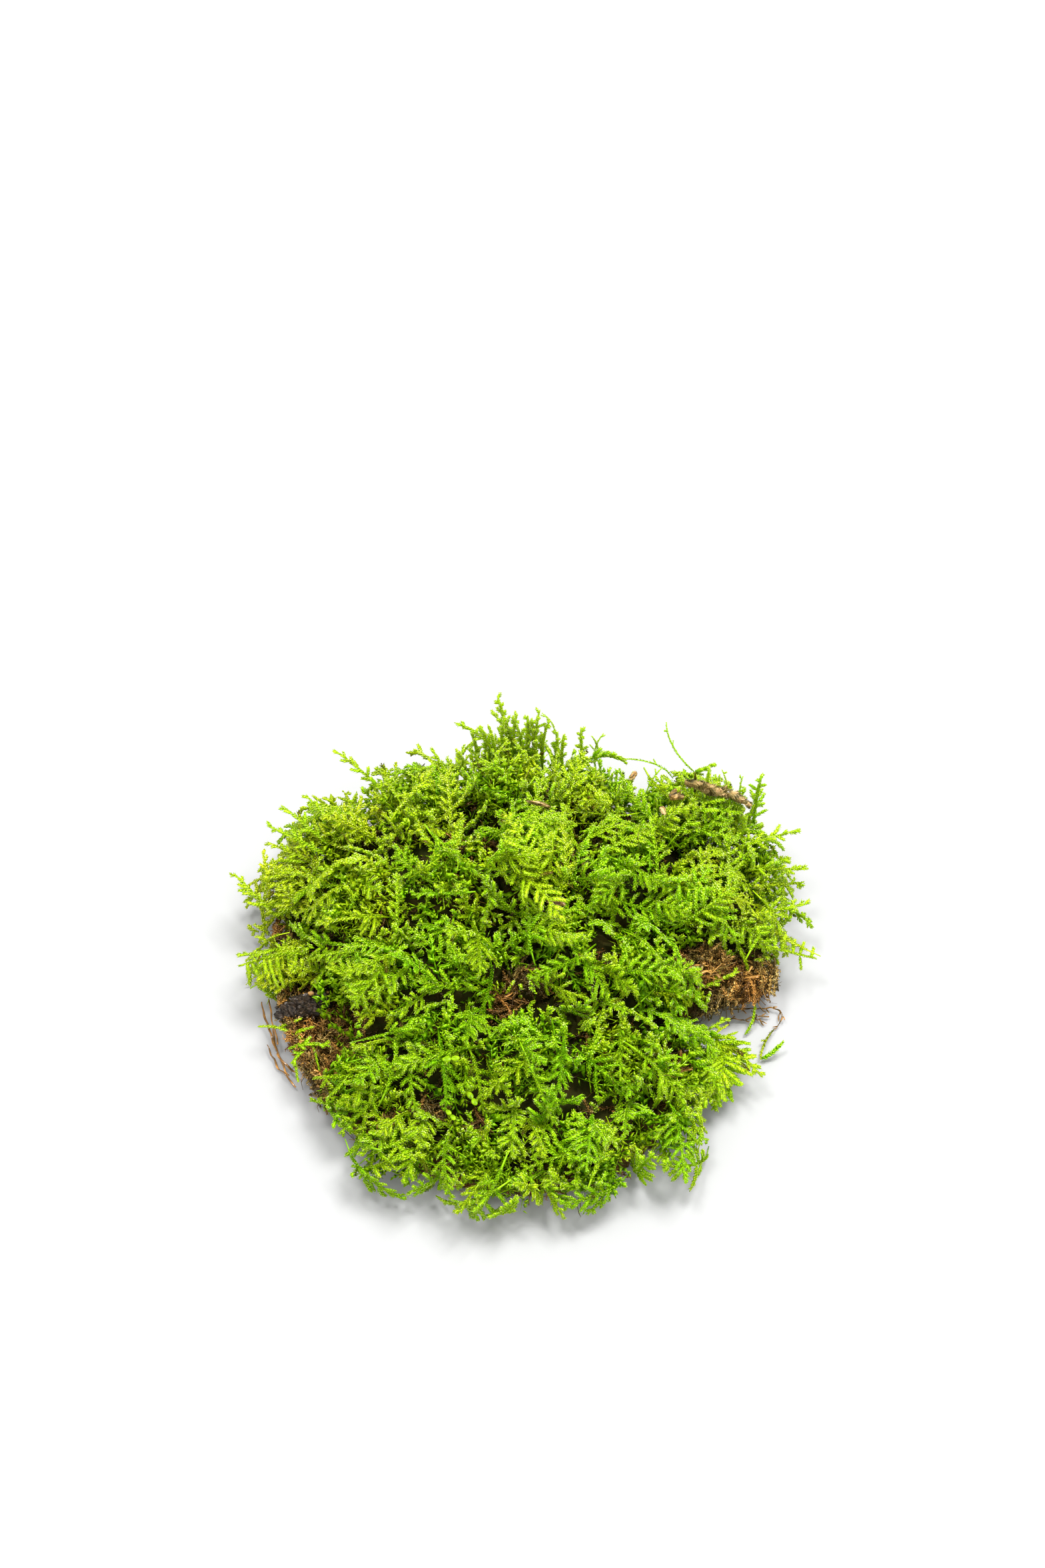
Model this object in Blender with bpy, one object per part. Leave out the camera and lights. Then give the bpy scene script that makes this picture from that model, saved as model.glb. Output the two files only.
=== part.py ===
"""A clump of feather moss, lifted whole: a felted mat of old brown growth that rests flat, cushions of
green shoots side by side on it, single fronds and shoots that reach past its edge, and the forest litter
caught in it. X runs to the right, Y to the back and Z up; the origin is the middle of the mat's underside.
"""

import math

import bmesh
import bpy
from mathutils import Matrix, Vector, noise
from mathutils.bvhtree import BVHTree

MM = 0.001

# Driving dimensions, in metres.
MAT_TOP = 6.0 * MM
GAP = 0.35 * MM
CUSHION_FLOOR = MAT_TOP + GAP
LUMP_HEIGHT = 0.9 * MM
LUMP_PITCH = 7.0 * MM
FROND_STEP = 0.3 * MM
FROND_GAP = 0.3
SHOOT_RADIUS = 0.45 * MM

# The mat's outline seen from above: its radius in mm every 7.5 degrees, anticlockwise from +X. The step
# before the last one is the notch at the right front; the dip after 45 degrees is the bay at the back.
OUTLINE_RADII = (44.5, 45, 45, 44.5, 43.5, 41.5, 39, 36.5, 35.5, 35.5, 36, 36,
                 36, 36, 36, 36, 36.5, 37.5, 39, 41, 42.5, 43.5, 44, 44,
                 44, 43.6, 43.2, 43.2, 43.4, 44.2, 44.5, 44.5, 44.5, 44.5, 45, 45,
                 45, 45, 44.5, 44, 43, 41.5, 38.5, 35.5, 33, 32, 34.5, 45)
# The mat's side, as (height in mm, share of the outline's radius) from the underside up.
MAT_SIDE = ((0.0, 0.955), (1.6, 1.0), (4.4, 0.985), (6.0, 0.93))

# Cushions of shoots: name, centre x and y, radius, and height of the tallest tips, in mm.
CUSHIONS = (
    ("tuft_back_crest", -3, 27, 12, 25),
    ("tuft_back_left", -18, 23, 13, 24),
    ("tuft_back_left_edge", -31, 19, 11, 20),
    ("tuft_back_right", 11, 26, 10, 22),
    ("tuft_right_back", 29, 22, 12, 21),
    ("tuft_right_shoulder", 39.5, 15, 8.2, 16),
    ("tuft_left_shoulder", -39.5, 11, 8, 15),
    ("tuft_left_middle", -28, 5, 13, 23),
    ("tuft_crown_left", -13, 9, 13, 27),
    ("tuft_crown", 2, 12, 13, 28),
    ("tuft_crown_right", 16, 11, 12.5, 25),
    ("tuft_right_middle", 29, 7, 11.5, 20),
    ("tuft_right_edge", 40.5, 5, 6.6, 13),
    ("tuft_left_edge", -40, -3, 6.8, 12.5),
    ("tuft_left_heart", -25, -9, 12, 21),
    ("tuft_heart_left", -11, -5, 11, 22),
    ("tuft_heart", 7, -4, 12, 23),
    ("tuft_right_heart", 20, -7, 11.5, 20),
    ("tuft_left_front", -26, -24, 10.5, 15),
    ("tuft_front_left", -13, -21, 12, 18),
    ("tuft_front_middle", 2, -23, 12, 19),
    ("tuft_front_right", 17, -21, 11.5, 17),
    ("tuft_right_front", 27, -22, 8.5, 13),
    ("tuft_rim_left", -20, -36, 9.5, 12),
    ("tuft_rim_middle", -5, -38, 10.5, 13),
    ("tuft_rim_right", 10, -38, 10, 13),
    ("tuft_rim_far_right", 23, -33, 9, 12),
)

# Feather-shaped fronds past the edge: name, root, tip, width and thickness, in mm.
FRONDS = (
    ("frond_crest_tall", (-3, 32, 20), (-4.3, 38.5, 31), 5.4, 2.6),
    ("frond_crest_left", (-9, 29, 19), (-12, 35, 28), 6, 2.6),
    ("frond_crest_right", (3, 32, 18), (4, 37, 28.5), 6, 2.6),
    ("frond_back_right_tip", (12, 30, 12), (14.5, 37, 20.5), 5, 2.4),
    ("frond_back_left_tip", (-24, 26, 17), (-33, 32, 22), 5, 2.4),
    ("frond_left_upper", (-34, 18, 15), (-42.6, 23.6, 17.8), 6.0, 2.6),
    ("frond_left_reach", (-37, 14.5, 13), (-45.4, 19.4, 16.2), 5.2, 2.6),
    ("frond_left_tip", (-40, 8.4, 10.5), (-50.6, 12.4, 12.4), 7, 2.6),
    ("frond_left_hanging", (-40.5, -4.6, 10), (-49.6, -5.4, 7.4), 8.6, 2.6),
    ("frond_right_upper", (38, 18, 13), (48.6, 19.6, 16), 6.4, 2.6),
    ("frond_right_reach", (40, 13.4, 12.5), (50, 13.2, 13.2), 5.2, 2.4),
    ("frond_right_tip", (41, 6.5, 10), (50.2, 7.8, 10.6), 5.2, 2.4),
    ("frond_right_long", (41, 1, 8), (51.4, -1.3, 7.6), 4.6, 2.0),
    ("frond_right_front", (30, -16, 9), (40.4, -24.4, 7), 11.5, 3),
    ("frond_left_patch", (-33, -18.6, 9), (-43, -17.6, 8.2), 4.6, 2.2),
)

# Slender bare shoots: name and points along them, in mm.
SHOOTS = (
    ("shoot_whip", ((29.6, 32.6, 18.5), (28.0, 33.4, 19.5), (26.2, 34.0, 21), (25.2, 34.6, 22.5),
                    (25.2, 35.8, 25))),
    ("shoot_back_bay", ((25.8, 35.2, 10), (24.6, 35.8, 11.5), (21.0, 36.2, 11.6), (17.2, 36.4, 10.8))),
    ("shoot_floor_sprig", ((43.2, -13.4, 0.9), (42.1, -15.2, 0.9), (41.6, -17.4, 1.0), (43.4, -16.9, 1.8),
                           (45.2, -15.4, 3.0))),
)

# Strands of old root and straw: name, radius and points, in mm.
STRANDS = (
    ("root_strand_right", 0.35, ((36.0, -10.6, 1.2), (40.8, -9.0, 0.9), (44.2, -8.3, 0.9), (45.5, -9.6, 0.9),
                                 (45.0, -10.9, 0.8), (44.1, -12.0, 0.8))),
    ("straw_left", 0.45, ((-45.7, -8.8, 1.4), (-45.0, -12.4, 1.0), (-43.9, -16.2, 0.9), (-41.0, -20.7, 0.9),
                          (-39.4, -23.0, 0.9))),
)

# Litter that lies on the moss: name, middle x and y, heading and the dip of its far end in degrees, and
# length, width and thickness in mm.
LITTER = (
    ("dead_stem", 34.0, 23.5, -7, 22, 12.8, 3.2, 2.4),
    ("bark_flake_back", 24.6, 20.4, 70, 0, 4.5, 3, 1.1),
    ("bark_sliver_crown", 3, 19.2, -14, 0, 5.2, 1.3, 0.8),
    ("bark_sliver_heart", 5.8, 2.3, -14, 0, 4.4, 1.0, 0.7),
    ("leaf_scrap_bay", 19.6, 31, 60, 0, 3.2, 1.6, 0.6),
)

# Seedlings with two round seed leaves: name, x and y, heading of the leaf pair in degrees, in mm.
SEEDLINGS = (
    ("seedling_bright", -12.0, -25.9, 6),
    ("seedling_fallen", -8.5, -30.6, -58),
    ("seedling_small", -12.1, -33.5, -50),
)
SEED_LEAF_LENGTH = 1.5 * MM
SEED_LEAF_WIDTH = 1.0 * MM
SEED_LEAF_THICKNESS = 0.35 * MM
SEED_STALK_RADIUS = 0.16 * MM
SEED_STALK_HEIGHT = 1.9 * MM

# The black lump of rotted wood in the bare patch at the left.
HUMUS_CENTRE = (-38.5, -10.5)
HUMUS_SIZE = (6.2 * MM, 3.6 * MM, 5.0 * MM)


def clear_scene():
    """Removes whatever the file already holds."""
    for item in list(bpy.data.objects):
        bpy.data.objects.remove(item, do_unlink=True)


def finish(name, colour, roughness):
    """A plain material of one colour."""
    material = bpy.data.materials.new(name)
    material.use_nodes = True
    shader = material.node_tree.nodes["Principled BSDF"]
    shader.inputs["Base Color"].default_value = (*colour, 1.0)
    shader.inputs["Roughness"].default_value = roughness
    shader.inputs["Metallic"].default_value = 0.0
    return material


def add_object(name, data, material, collection):
    """Links one named piece with its material."""
    piece = bpy.data.objects.new(name, data)
    data.materials.append(material)
    collection.objects.link(piece)
    return piece


def to_mesh(name, bm):
    """Turns a closed bmesh into mesh data with its faces pointing out."""
    bmesh.ops.recalc_face_normals(bm, faces=bm.faces)
    if bm.calc_volume(signed=True) < 0:
        bmesh.ops.reverse_faces(bm, faces=bm.faces)
    data = bpy.data.meshes.new(name)
    bm.to_mesh(data)
    bm.free()
    return data


def lumps(point):
    """Soft bumps of moss and mould, the same at the same place on every piece."""
    return noise.noise(point / LUMP_PITCH) * LUMP_HEIGHT


def outline_radius(angle):
    """The mat's radius at the corner nearest an angle."""
    step = 2 * math.pi / len(OUTLINE_RADII)
    return OUTLINE_RADII[round(angle / step) % len(OUTLINE_RADII)] * MM


def build_mat(material, collection):
    """The felted mat: a flat underside extruded up through the rings of its side."""
    bm = bmesh.new()
    ring = bmesh.ops.create_circle(bm, cap_ends=True, segments=len(OUTLINE_RADII), radius=1.0)["verts"]
    angles = {vertex: math.atan2(vertex.co.y, vertex.co.x) for vertex in ring}
    height, share = MAT_SIDE[0]
    for vertex in ring:
        reach = outline_radius(angles[vertex]) * share
        vertex.co = Vector((math.cos(angles[vertex]) * reach, math.sin(angles[vertex]) * reach, 0))
    cap = list(bm.faces)
    for height, share in MAT_SIDE[1:]:
        grown = bmesh.ops.extrude_face_region(bm, geom=cap)["geom"]
        if height > MAT_SIDE[1][0]:
            bmesh.ops.delete(bm, geom=cap, context="FACES_ONLY")
        cap = [item for item in grown if isinstance(item, bmesh.types.BMFace)]
        for vertex in (item for item in grown if isinstance(item, bmesh.types.BMVert)):
            angle = math.atan2(vertex.co.y, vertex.co.x)
            reach = outline_radius(angle) * share
            vertex.co = Vector((math.cos(angle) * reach, math.sin(angle) * reach, height * MM))
            if vertex.co.z < MAT_TOP:
                vertex.co += Vector((vertex.co.x, vertex.co.y, 0)).normalized() * lumps(vertex.co * 1.7)
    return add_object("old_growth_mat", to_mesh("old_growth_mat", bm), material, collection)


def cut_away(bm, point, normal):
    """Cuts off what lies on the side of a plane that its normal points to, and closes the cut."""
    cut = bmesh.ops.bisect_plane(bm, geom=bm.verts[:] + bm.edges[:] + bm.faces[:], dist=1e-7,
                                 plane_co=point, plane_no=normal, clear_outer=True)
    rim = [item for item in cut["geom_cut"] if isinstance(item, bmesh.types.BMEdge)]
    if rim:
        bmesh.ops.edgeloop_fill(bm, edges=rim)


def parting_plane(own, other):
    """Where two cushions meet: the upright plane through the crossing of their two domes."""
    start, end = Vector((own[1], own[2], 0)) * MM, Vector((other[1], other[2], 0)) * MM
    apart = (end - start).length
    reach = (apart ** 2 + (own[3] * MM) ** 2 - (other[3] * MM) ** 2) / (2 * apart)
    way = (end - start).normalized()
    return start + way * (reach - GAP / 2), way


def build_cushion(row, material, collection):
    """A dome of shoots, squeezed flat against the neighbours it grows beside."""
    name, x, y, radius, top = row
    middle = Vector((x * MM, y * MM, CUSHION_FLOOR))
    bm = bmesh.new()
    bmesh.ops.create_icosphere(bm, subdivisions=3, radius=1.0)
    size = Vector((radius * MM, radius * MM, top * MM - CUSHION_FLOOR))
    for vertex in bm.verts:
        outward = vertex.co.normalized()
        place = middle + Vector(a * b for a, b in zip(vertex.co, size))
        vertex.co = place + outward * lumps(place)
    for other in CUSHIONS:
        apart = math.hypot(other[1] - x, other[2] - y)
        if other is not row and apart < radius + other[3]:
            cut_away(bm, *parting_plane(row, other))
    cut_away(bm, Vector((0, 0, CUSHION_FLOOR)), Vector((0, 0, -1)))
    return add_object(name, to_mesh(name, bm), material, collection)


def surface_of(pieces):
    """One tree of the faces of several pieces, for finding what lies under or ahead of a point."""
    points, faces = [], []
    for piece in pieces:
        start = len(points)
        points += [vertex.co.copy() for vertex in piece.data.vertices]
        faces += [[start + corner for corner in face.vertices] for face in piece.data.polygons]
    return BVHTree.FromPolygons(points, faces)


def spindle(root, tip, width, thickness):
    """A flat spindle from root to tip that arches in the middle of its length, as a frond does."""
    way = tip - root
    across = Vector((0, 0, 1)).cross(way).normalized()
    upward = way.cross(across).normalized()
    bm = bmesh.new()
    bmesh.ops.create_uvsphere(bm, u_segments=8, v_segments=10, radius=0.5)
    for vertex in bm.verts:
        share = vertex.co.z + 0.5
        side = across * (vertex.co.x * width)
        rise = upward * (vertex.co.y * thickness + math.sin(share * math.pi) * 0.06 * way.length)
        vertex.co = root + way * share + side + rise
    return bm


def build_frond(row, tree, material, collection):
    """A frond that leaves the cushions: its inner end is cut square, as close as it comes to them."""
    name, root, tip, width, thickness = row
    root, tip = Vector(root) * MM, Vector(tip) * MM
    way = (tip - root).normalized()
    start = 0.0
    while True:
        test = spindle(root, tip, (width + 2 * FROND_GAP) * MM, (thickness + 2 * FROND_GAP) * MM)
        cut_away(test, root + way * start, -way)
        touching = tree.overlap(BVHTree.FromBMesh(test))
        test.free()
        if not touching:
            break
        start += FROND_STEP
    bm = spindle(root, tip, width * MM, thickness * MM)
    cut_away(bm, root + way * (start + FROND_GAP * MM), -way)
    add_object(name, to_mesh(name, bm), material, collection)


def build_strand(name, radius, points, material, collection):
    """A thin round strand through its points."""
    data = bpy.data.curves.new(name, "CURVE")
    data.dimensions = "3D"
    data.bevel_depth = radius
    data.bevel_resolution = 1
    data.use_fill_caps = True
    spline = data.splines.new("POLY")
    places = smooth_path([Vector(point) * MM for point in points])
    spline.points.add(len(places) - 1)
    for slot, place in zip(spline.points, places):
        slot.co = (*place, 1.0)
    add_object(name, data, material, collection)


def smooth_path(points, steps=4):
    """Points on a smooth curve through the given ones, by the Catmull-Rom rule."""
    ends = [2 * points[0] - points[1], *points, 2 * points[-1] - points[-2]]
    path = []
    for a, b, c, d in zip(ends, ends[1:], ends[2:], ends[3:]):
        for step in range(steps):
            t = step / steps
            path.append((2 * b + (c - a) * t + (2 * a - 5 * b + 4 * c - d) * t ** 2
                         + (3 * b - a - 3 * c + d) * t ** 3) / 2)
    return [*path, points[-1]]


def rest_on(tree, bm):
    """Moves a loose piece up or down until it lies just clear of what is under it."""
    high = 0.1
    rise = None
    for vertex in bm.verts:
        hit = tree.ray_cast(Vector((vertex.co.x, vertex.co.y, high)), Vector((0, 0, -1)))[0]
        floor = hit.z if hit is not None else 0.0
        need = floor + GAP - vertex.co.z
        rise = need if rise is None else max(rise, need)
    # The faces between the tested corners can bulge past them by a little.
    bmesh.ops.translate(bm, verts=bm.verts, vec=Vector((0, 0, rise + GAP)))


def build_litter(row, tree, material, collection):
    """A chip, scrap or stub of dead stem: a bevelled, slightly bent bar that lies on the moss."""
    name, x, y, heading, dip, length, width, thickness = row
    bm = bmesh.new()
    bmesh.ops.create_cube(bm, size=1.0)
    bmesh.ops.subdivide_edges(bm, edges=[e for e in bm.edges if abs((e.verts[0].co - e.verts[1].co).x) > 0.5],
                              cuts=3)
    for vertex in bm.verts:
        taper = 1 - 0.45 * (2 * vertex.co.x) ** 2
        bend = 0.10 * length * (0.25 - vertex.co.x ** 2)
        vertex.co = Vector((vertex.co.x * length, vertex.co.y * width * taper + bend,
                            vertex.co.z * thickness * taper + bend)) * MM
    bmesh.ops.bevel(bm, geom=bm.edges[:], offset=0.18 * thickness * MM, segments=1, affect="EDGES")
    lie = Matrix.Rotation(math.radians(heading), 3, "Z") @ Matrix.Rotation(math.radians(dip), 3, "Y")
    bmesh.ops.rotate(bm, verts=bm.verts, cent=(0, 0, 0), matrix=lie)
    bmesh.ops.translate(bm, verts=bm.verts, vec=Vector((x * MM, y * MM, 0)))
    rest_on(tree, bm)
    add_object(name, to_mesh(name, bm), material, collection)


def build_seedling(row, tree, material, collection):
    """A stalk with two round seed leaves spread at its top, joined in one body."""
    name, x, y, heading = row
    bm = bmesh.new()
    bmesh.ops.create_cone(bm, cap_ends=True, segments=8, radius1=SEED_STALK_RADIUS, radius2=SEED_STALK_RADIUS,
                          depth=SEED_STALK_HEIGHT, matrix=Matrix.Translation((0, 0, SEED_STALK_HEIGHT / 2)))
    bmesh.ops.translate(bm, verts=bm.verts, vec=Vector((x * MM, y * MM, 0)))
    rest_on(tree, bm)
    top = max(vertex.co.z for vertex in bm.verts)
    stalk = add_object(name, to_mesh(name, bm), material, collection)
    turn = Matrix.Rotation(math.radians(heading), 4, "Z")
    for number, side in enumerate((-1, 1)):
        leaf = bmesh.new()
        bmesh.ops.create_uvsphere(leaf, u_segments=10, v_segments=6, radius=0.5)
        bmesh.ops.scale(leaf, verts=leaf.verts,
                        vec=(SEED_LEAF_LENGTH, SEED_LEAF_WIDTH, SEED_LEAF_THICKNESS))
        shift = Matrix.Translation((x * MM, y * MM, top)) @ turn
        out = Matrix.Translation((side * SEED_LEAF_LENGTH * 0.44, 0, SEED_LEAF_THICKNESS * 0.2))
        bmesh.ops.transform(leaf, matrix=shift @ out, verts=leaf.verts)
        cutter = add_object(f"{name}_leaf_{number}", to_mesh(f"{name}_leaf_{number}", leaf), material,
                            helpers)
        cutter.hide_render = True
        cutter.display_type = "WIRE"
        join = stalk.modifiers.new(f"leaf {number}", "BOOLEAN")
        join.operation = "UNION"
        join.object = cutter


def build_humus(material, collection):
    """A crumbling lump of rotted wood, flat where it sits in the mat."""
    bm = bmesh.new()
    bmesh.ops.create_icosphere(bm, subdivisions=2, radius=1.0)
    middle = Vector((HUMUS_CENTRE[0] * MM, HUMUS_CENTRE[1] * MM, CUSHION_FLOOR))
    for vertex in bm.verts:
        place = middle + Vector(a * b for a, b in zip(vertex.co, HUMUS_SIZE))
        vertex.co = place + vertex.co * lumps(place * 2.6)
    cut_away(bm, Vector((0, 0, CUSHION_FLOOR)), Vector((0, 0, -1)))
    for row in CUSHIONS:
        apart = Vector((row[1], row[2])) - Vector(HUMUS_CENTRE)
        if apart.length < row[3] + 7:
            edge = Vector((row[1], row[2], 0)) - Vector((*apart.normalized(), 0)) * (row[3] + 1.1)
            cut_away(bm, edge * MM, Vector((*apart.normalized(), 0)))
    add_object("humus_lump", to_mesh("humus_lump", bm), material, collection)


clear_scene()
clump = bpy.data.collections.new("moss_clump")
helpers = bpy.data.collections.new("joined_shapes")
for group in (clump, helpers):
    bpy.context.scene.collection.children.link(group)

green = finish("living_moss", (0.20, 0.38, 0.03), 0.5)
pale_green = finish("shoot_tips", (0.36, 0.52, 0.06), 0.5)
brown = finish("old_growth", (0.20, 0.10, 0.045), 0.85)
black = finish("rotted_wood", (0.035, 0.024, 0.02), 0.6)
straw = finish("dry_litter", (0.38, 0.22, 0.10), 0.8)
seed_green = finish("seed_leaf", (0.45, 0.75, 0.04), 0.35)

mat = build_mat(brown, clump)
build_humus(black, clump)
cushions = [build_cushion(row, green, clump) for row in CUSHIONS]
moss_surface = surface_of([*cushions, mat])
for row in FRONDS:
    build_frond(row, moss_surface, pale_green, clump)
for name, points in SHOOTS:
    build_strand(name, SHOOT_RADIUS, points, pale_green, clump)
for name, radius, points in STRANDS:
    build_strand(name, radius * MM, points, brown, clump)
for row in LITTER:
    build_litter(row, moss_surface, straw, clump)
for row in SEEDLINGS:
    build_seedling(row, moss_surface, seed_green, clump)
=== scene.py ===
"""The looks of a clump of feather moss: leafy shoots on a felt of brown old growth, with forest litter.

Lengths are in millimetres until a surface goes into its mesh, which is in metres; the studio's are in
metres. Leaves, stems and fibres carry a place on their finish's colour chart in their UV map: its first
number runs from old, dark growth to young, light growth, and also carries painted shade deep in the
clump and under the moss, and painted light: glints on some leaf tips and lighter tufts at the back and
sides. Its second runs from cool to warm, so a finish's colours depend on nothing else.
"""

import logging
import math
from dataclasses import dataclass, field, replace
from enum import Enum
from functools import cached_property

import bpy
import numpy as np
from numpy.typing import NDArray
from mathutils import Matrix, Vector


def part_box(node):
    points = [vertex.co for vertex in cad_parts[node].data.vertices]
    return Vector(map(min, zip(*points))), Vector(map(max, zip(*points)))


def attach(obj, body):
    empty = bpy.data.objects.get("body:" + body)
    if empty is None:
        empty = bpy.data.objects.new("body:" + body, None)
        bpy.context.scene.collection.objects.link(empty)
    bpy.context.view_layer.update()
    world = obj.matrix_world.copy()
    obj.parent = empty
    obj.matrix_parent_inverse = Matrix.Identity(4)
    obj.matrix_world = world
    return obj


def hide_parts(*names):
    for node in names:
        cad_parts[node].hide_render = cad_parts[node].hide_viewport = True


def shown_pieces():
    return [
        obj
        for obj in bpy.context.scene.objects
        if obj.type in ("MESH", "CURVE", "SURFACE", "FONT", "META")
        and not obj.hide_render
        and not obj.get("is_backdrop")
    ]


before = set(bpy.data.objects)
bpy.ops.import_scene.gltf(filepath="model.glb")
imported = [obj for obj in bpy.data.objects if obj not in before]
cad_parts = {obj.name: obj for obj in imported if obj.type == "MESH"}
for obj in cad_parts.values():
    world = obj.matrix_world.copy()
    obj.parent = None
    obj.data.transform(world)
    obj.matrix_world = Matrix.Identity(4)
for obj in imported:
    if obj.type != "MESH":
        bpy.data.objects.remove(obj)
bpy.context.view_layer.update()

LOG = logging.getLogger("moss_clump")

Array = NDArray[np.float64]
Rng = np.random.Generator
Point = tuple[float, float, float]
Colour = tuple[float, float, float]
Span = tuple[float, float]
Counts = tuple[int, int]
Ints = NDArray[np.int64]
Stops = tuple[tuple[float, Colour], ...]
Layers = tuple[tuple[float, float, int], ...]

MM = 0.001
CHART = "OFBake"
CHART_EDGES = (0.002, 0.998)
UP = np.array([0.0, 0.0, 1.0])
GOLDEN_TURN = math.pi * (3 - math.sqrt(5))
MAT_TOP = 6.0
TRIANGLES_MOST = 1_000_000


# ---- arrays


def unit(vectors: Array) -> Array:
    """Scales vectors, which lie along the last axis, to length one."""
    size = np.linalg.norm(vectors, axis=-1, keepdims=True)
    return vectors / np.maximum(size, 1e-12)


def blend(start: Array | float, end: Array | float, share: Array | float) -> Array:
    """Start plus the share of the way from start to end."""
    return start + (end - start) * share


WAVE_COUNT = 7
WAVE_PITCHES = (0.6, 1.6)
WAVE_HEIGHT = 0.42


def waves(points: Array, pitch: float, seed: int) -> Array:
    """A soft pattern in space: a few sine waves of random headings and phases, added up.

    Args:
        points: Places in mm, with X, Y and Z last.
        pitch: The waves' mean length in mm.
        seed: Which pattern of this pitch it is.

    Returns:
        Numbers about zero, mostly within minus one to one.
    """
    rng = np.random.default_rng(seed)
    headings = unit(rng.normal(size=(WAVE_COUNT, 3)))
    headings = headings * rng.uniform(*WAVE_PITCHES, (WAVE_COUNT, 1)) * 2 * math.pi / pitch
    phases = rng.uniform(0, 2 * math.pi, WAVE_COUNT)
    return np.sin(points @ headings.T + phases).sum(axis=-1) * WAVE_HEIGHT


def layered(points: Array, layers: Layers, start: float = 0.0) -> Array:
    """Adds patterns in space, each with its height, its pitch in mm and its seed, to a start."""
    return sum((height * waves(points, pitch, seed) for height, pitch, seed in layers), start)


def polar(reach: Array, angle: Array, height: Array | float) -> Array:
    """Places by their distance and angle about the upright through the origin, and their height."""
    x, y = reach * np.cos(angle), reach * np.sin(angle)
    return np.stack([x, y, np.broadcast_to(height, x.shape)], -1)


def bearing(points: Array) -> Array:
    """The angle of places about the upright through the origin, in radians from +X."""
    return np.arctan2(points[..., 1], points[..., 0])


def keep_above(points: Array, least: Array | float) -> None:
    """Lifts points that lie below a least height up to it, in place."""
    points[..., 2] = np.maximum(points[..., 2], least)


def along_profile(profile: tuple[Point, ...], rings: int) -> tuple[Array, Array]:
    """Reads a side profile at evenly spaced rings.

    Args:
        profile: Its stops, each as the place among the rings, the share of the radius, and the height.
        rings: How many rings.

    Returns:
        Each ring's share of the radius and its height, as columns.
    """
    place, share, height = np.array(profile).T
    step = np.linspace(0, 1, rings)
    return np.interp(step, place, share)[:, None], np.interp(step, place, height)[:, None]


def runs(counts: Ints) -> tuple[Ints, Ints]:
    """Numbers the members of groups of different sizes.

    Args:
        counts: How many members each group has.

    Returns:
        Each member's group, and its place within the group from zero.
    """
    rows = np.repeat(np.arange(counts.size), counts)
    first = np.repeat(np.cumsum(counts) - counts, counts)
    return rows, np.arange(rows.size) - first


@dataclass
class Surface:
    """Triangles, each point with its place on the colour chart.

    Attributes:
        points: The points, in mm.
        triangles: Each triangle's three points, by their numbers.
        chart: Each point's place on the chart.
    """

    points: Array
    triangles: Ints
    chart: Array

    @classmethod
    def joined(cls, parts: list["Surface"]) -> "Surface":
        """Puts several surfaces in one, as separate shells."""
        starts = np.cumsum([0] + [len(part.points) for part in parts[:-1]])
        return cls(
            np.concatenate([part.points for part in parts]),
            np.concatenate([part.triangles + start for part, start in zip(parts, starts)]),
            np.concatenate([part.chart for part in parts]),
        )

    @classmethod
    def copies(cls, points: Array, triangles: Ints, chart: Array) -> "Surface":
        """Lays out one small mesh many times.

        Args:
            points: Corners of each copy, as (copies, corners, 3).
            triangles: The triangles of one copy.
            chart: Chart places of each copy's corners, as (copies, corners, 2).

        Returns:
            All copies as one surface.
        """
        count, corners = points.shape[:2]
        faces = triangles[None] + (np.arange(count) * corners)[:, None, None]
        return cls(points.reshape(-1, 3), faces.reshape(-1, 3), chart.reshape(-1, 2))


def grid_triangles(rows: int, columns: int, wrapped: bool) -> Ints:
    """Two triangles for each cell of a grid of points numbered row by row.

    Args:
        rows: Rows of points.
        columns: Points in a row.
        wrapped: Whether a row's last point joins its first.

    Returns:
        The triangles, facing out where rows run up and columns run anticlockwise seen from above.
    """
    row = np.arange(rows - 1)[:, None]
    column = np.arange(columns if wrapped else columns - 1)[None]
    after = (column + 1) % columns
    a, b = row * columns + column, row * columns + after
    c, d = a + columns, b + columns
    return np.stack([np.stack([a, b, d], -1), np.stack([a, d, c], -1)], 2).reshape(-1, 3)


def capped_tube(rings: int, sides: int) -> Ints:
    """Closes a tube with a fan over its first ring and its last.

    Args:
        rings: Rings of points along the tube.
        sides: Points in a ring.

    Returns:
        The tube's triangles.
    """
    wall = grid_triangles(rings, sides, True)
    middle = np.arange(1, sides - 1)
    low = np.stack([np.zeros_like(middle), middle + 1, middle], -1)
    high = np.stack([np.zeros_like(middle), middle, middle + 1], -1) + (rings - 1) * sides
    return np.concatenate([wall, low, high])


def closed_rings(rings: Array, low: Array, top: Array) -> tuple[Array, Ints]:
    """Closes a stack of rings with a fan to a point below and a fan to a point above.

    Args:
        rings: Points as (rings, points in a ring, 3), from low to top and anticlockwise seen from above.
        low: The point below.
        top: The point above.

    Returns:
        All points, and the triangles facing out.
    """
    rows, columns = rings.shape[:2]
    turn = np.arange(columns)
    after = (turn + 1) % columns
    last = (rows - 1) * columns
    fans = np.concatenate([np.stack([np.full_like(turn, rows * columns), after, turn], 1),
                           np.stack([np.full_like(turn, rows * columns + 1), last + turn, last + after], 1)])
    points = np.concatenate([rings.reshape(-1, 3), [low, top]])
    return points, np.concatenate([grid_triangles(rows, columns, True), fans])


# ---- finishes


@dataclass(frozen=True)
class Look:
    """How a surface takes light.

    Attributes:
        roughness: From 0, a mirror, to 1, chalk.
        shine: The share of light that the wet film on top sends back, as a coat's weight.
        coat_roughness: The roughness of that film.
        thin: The share of light that goes through, as in a leaf.
        cast: The colour of what the surface under the film mirrors head on.
    """

    roughness: float
    shine: float
    coat_roughness: float
    thin: float = 0.0
    cast: Colour = (1.0, 1.0, 1.0)


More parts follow.
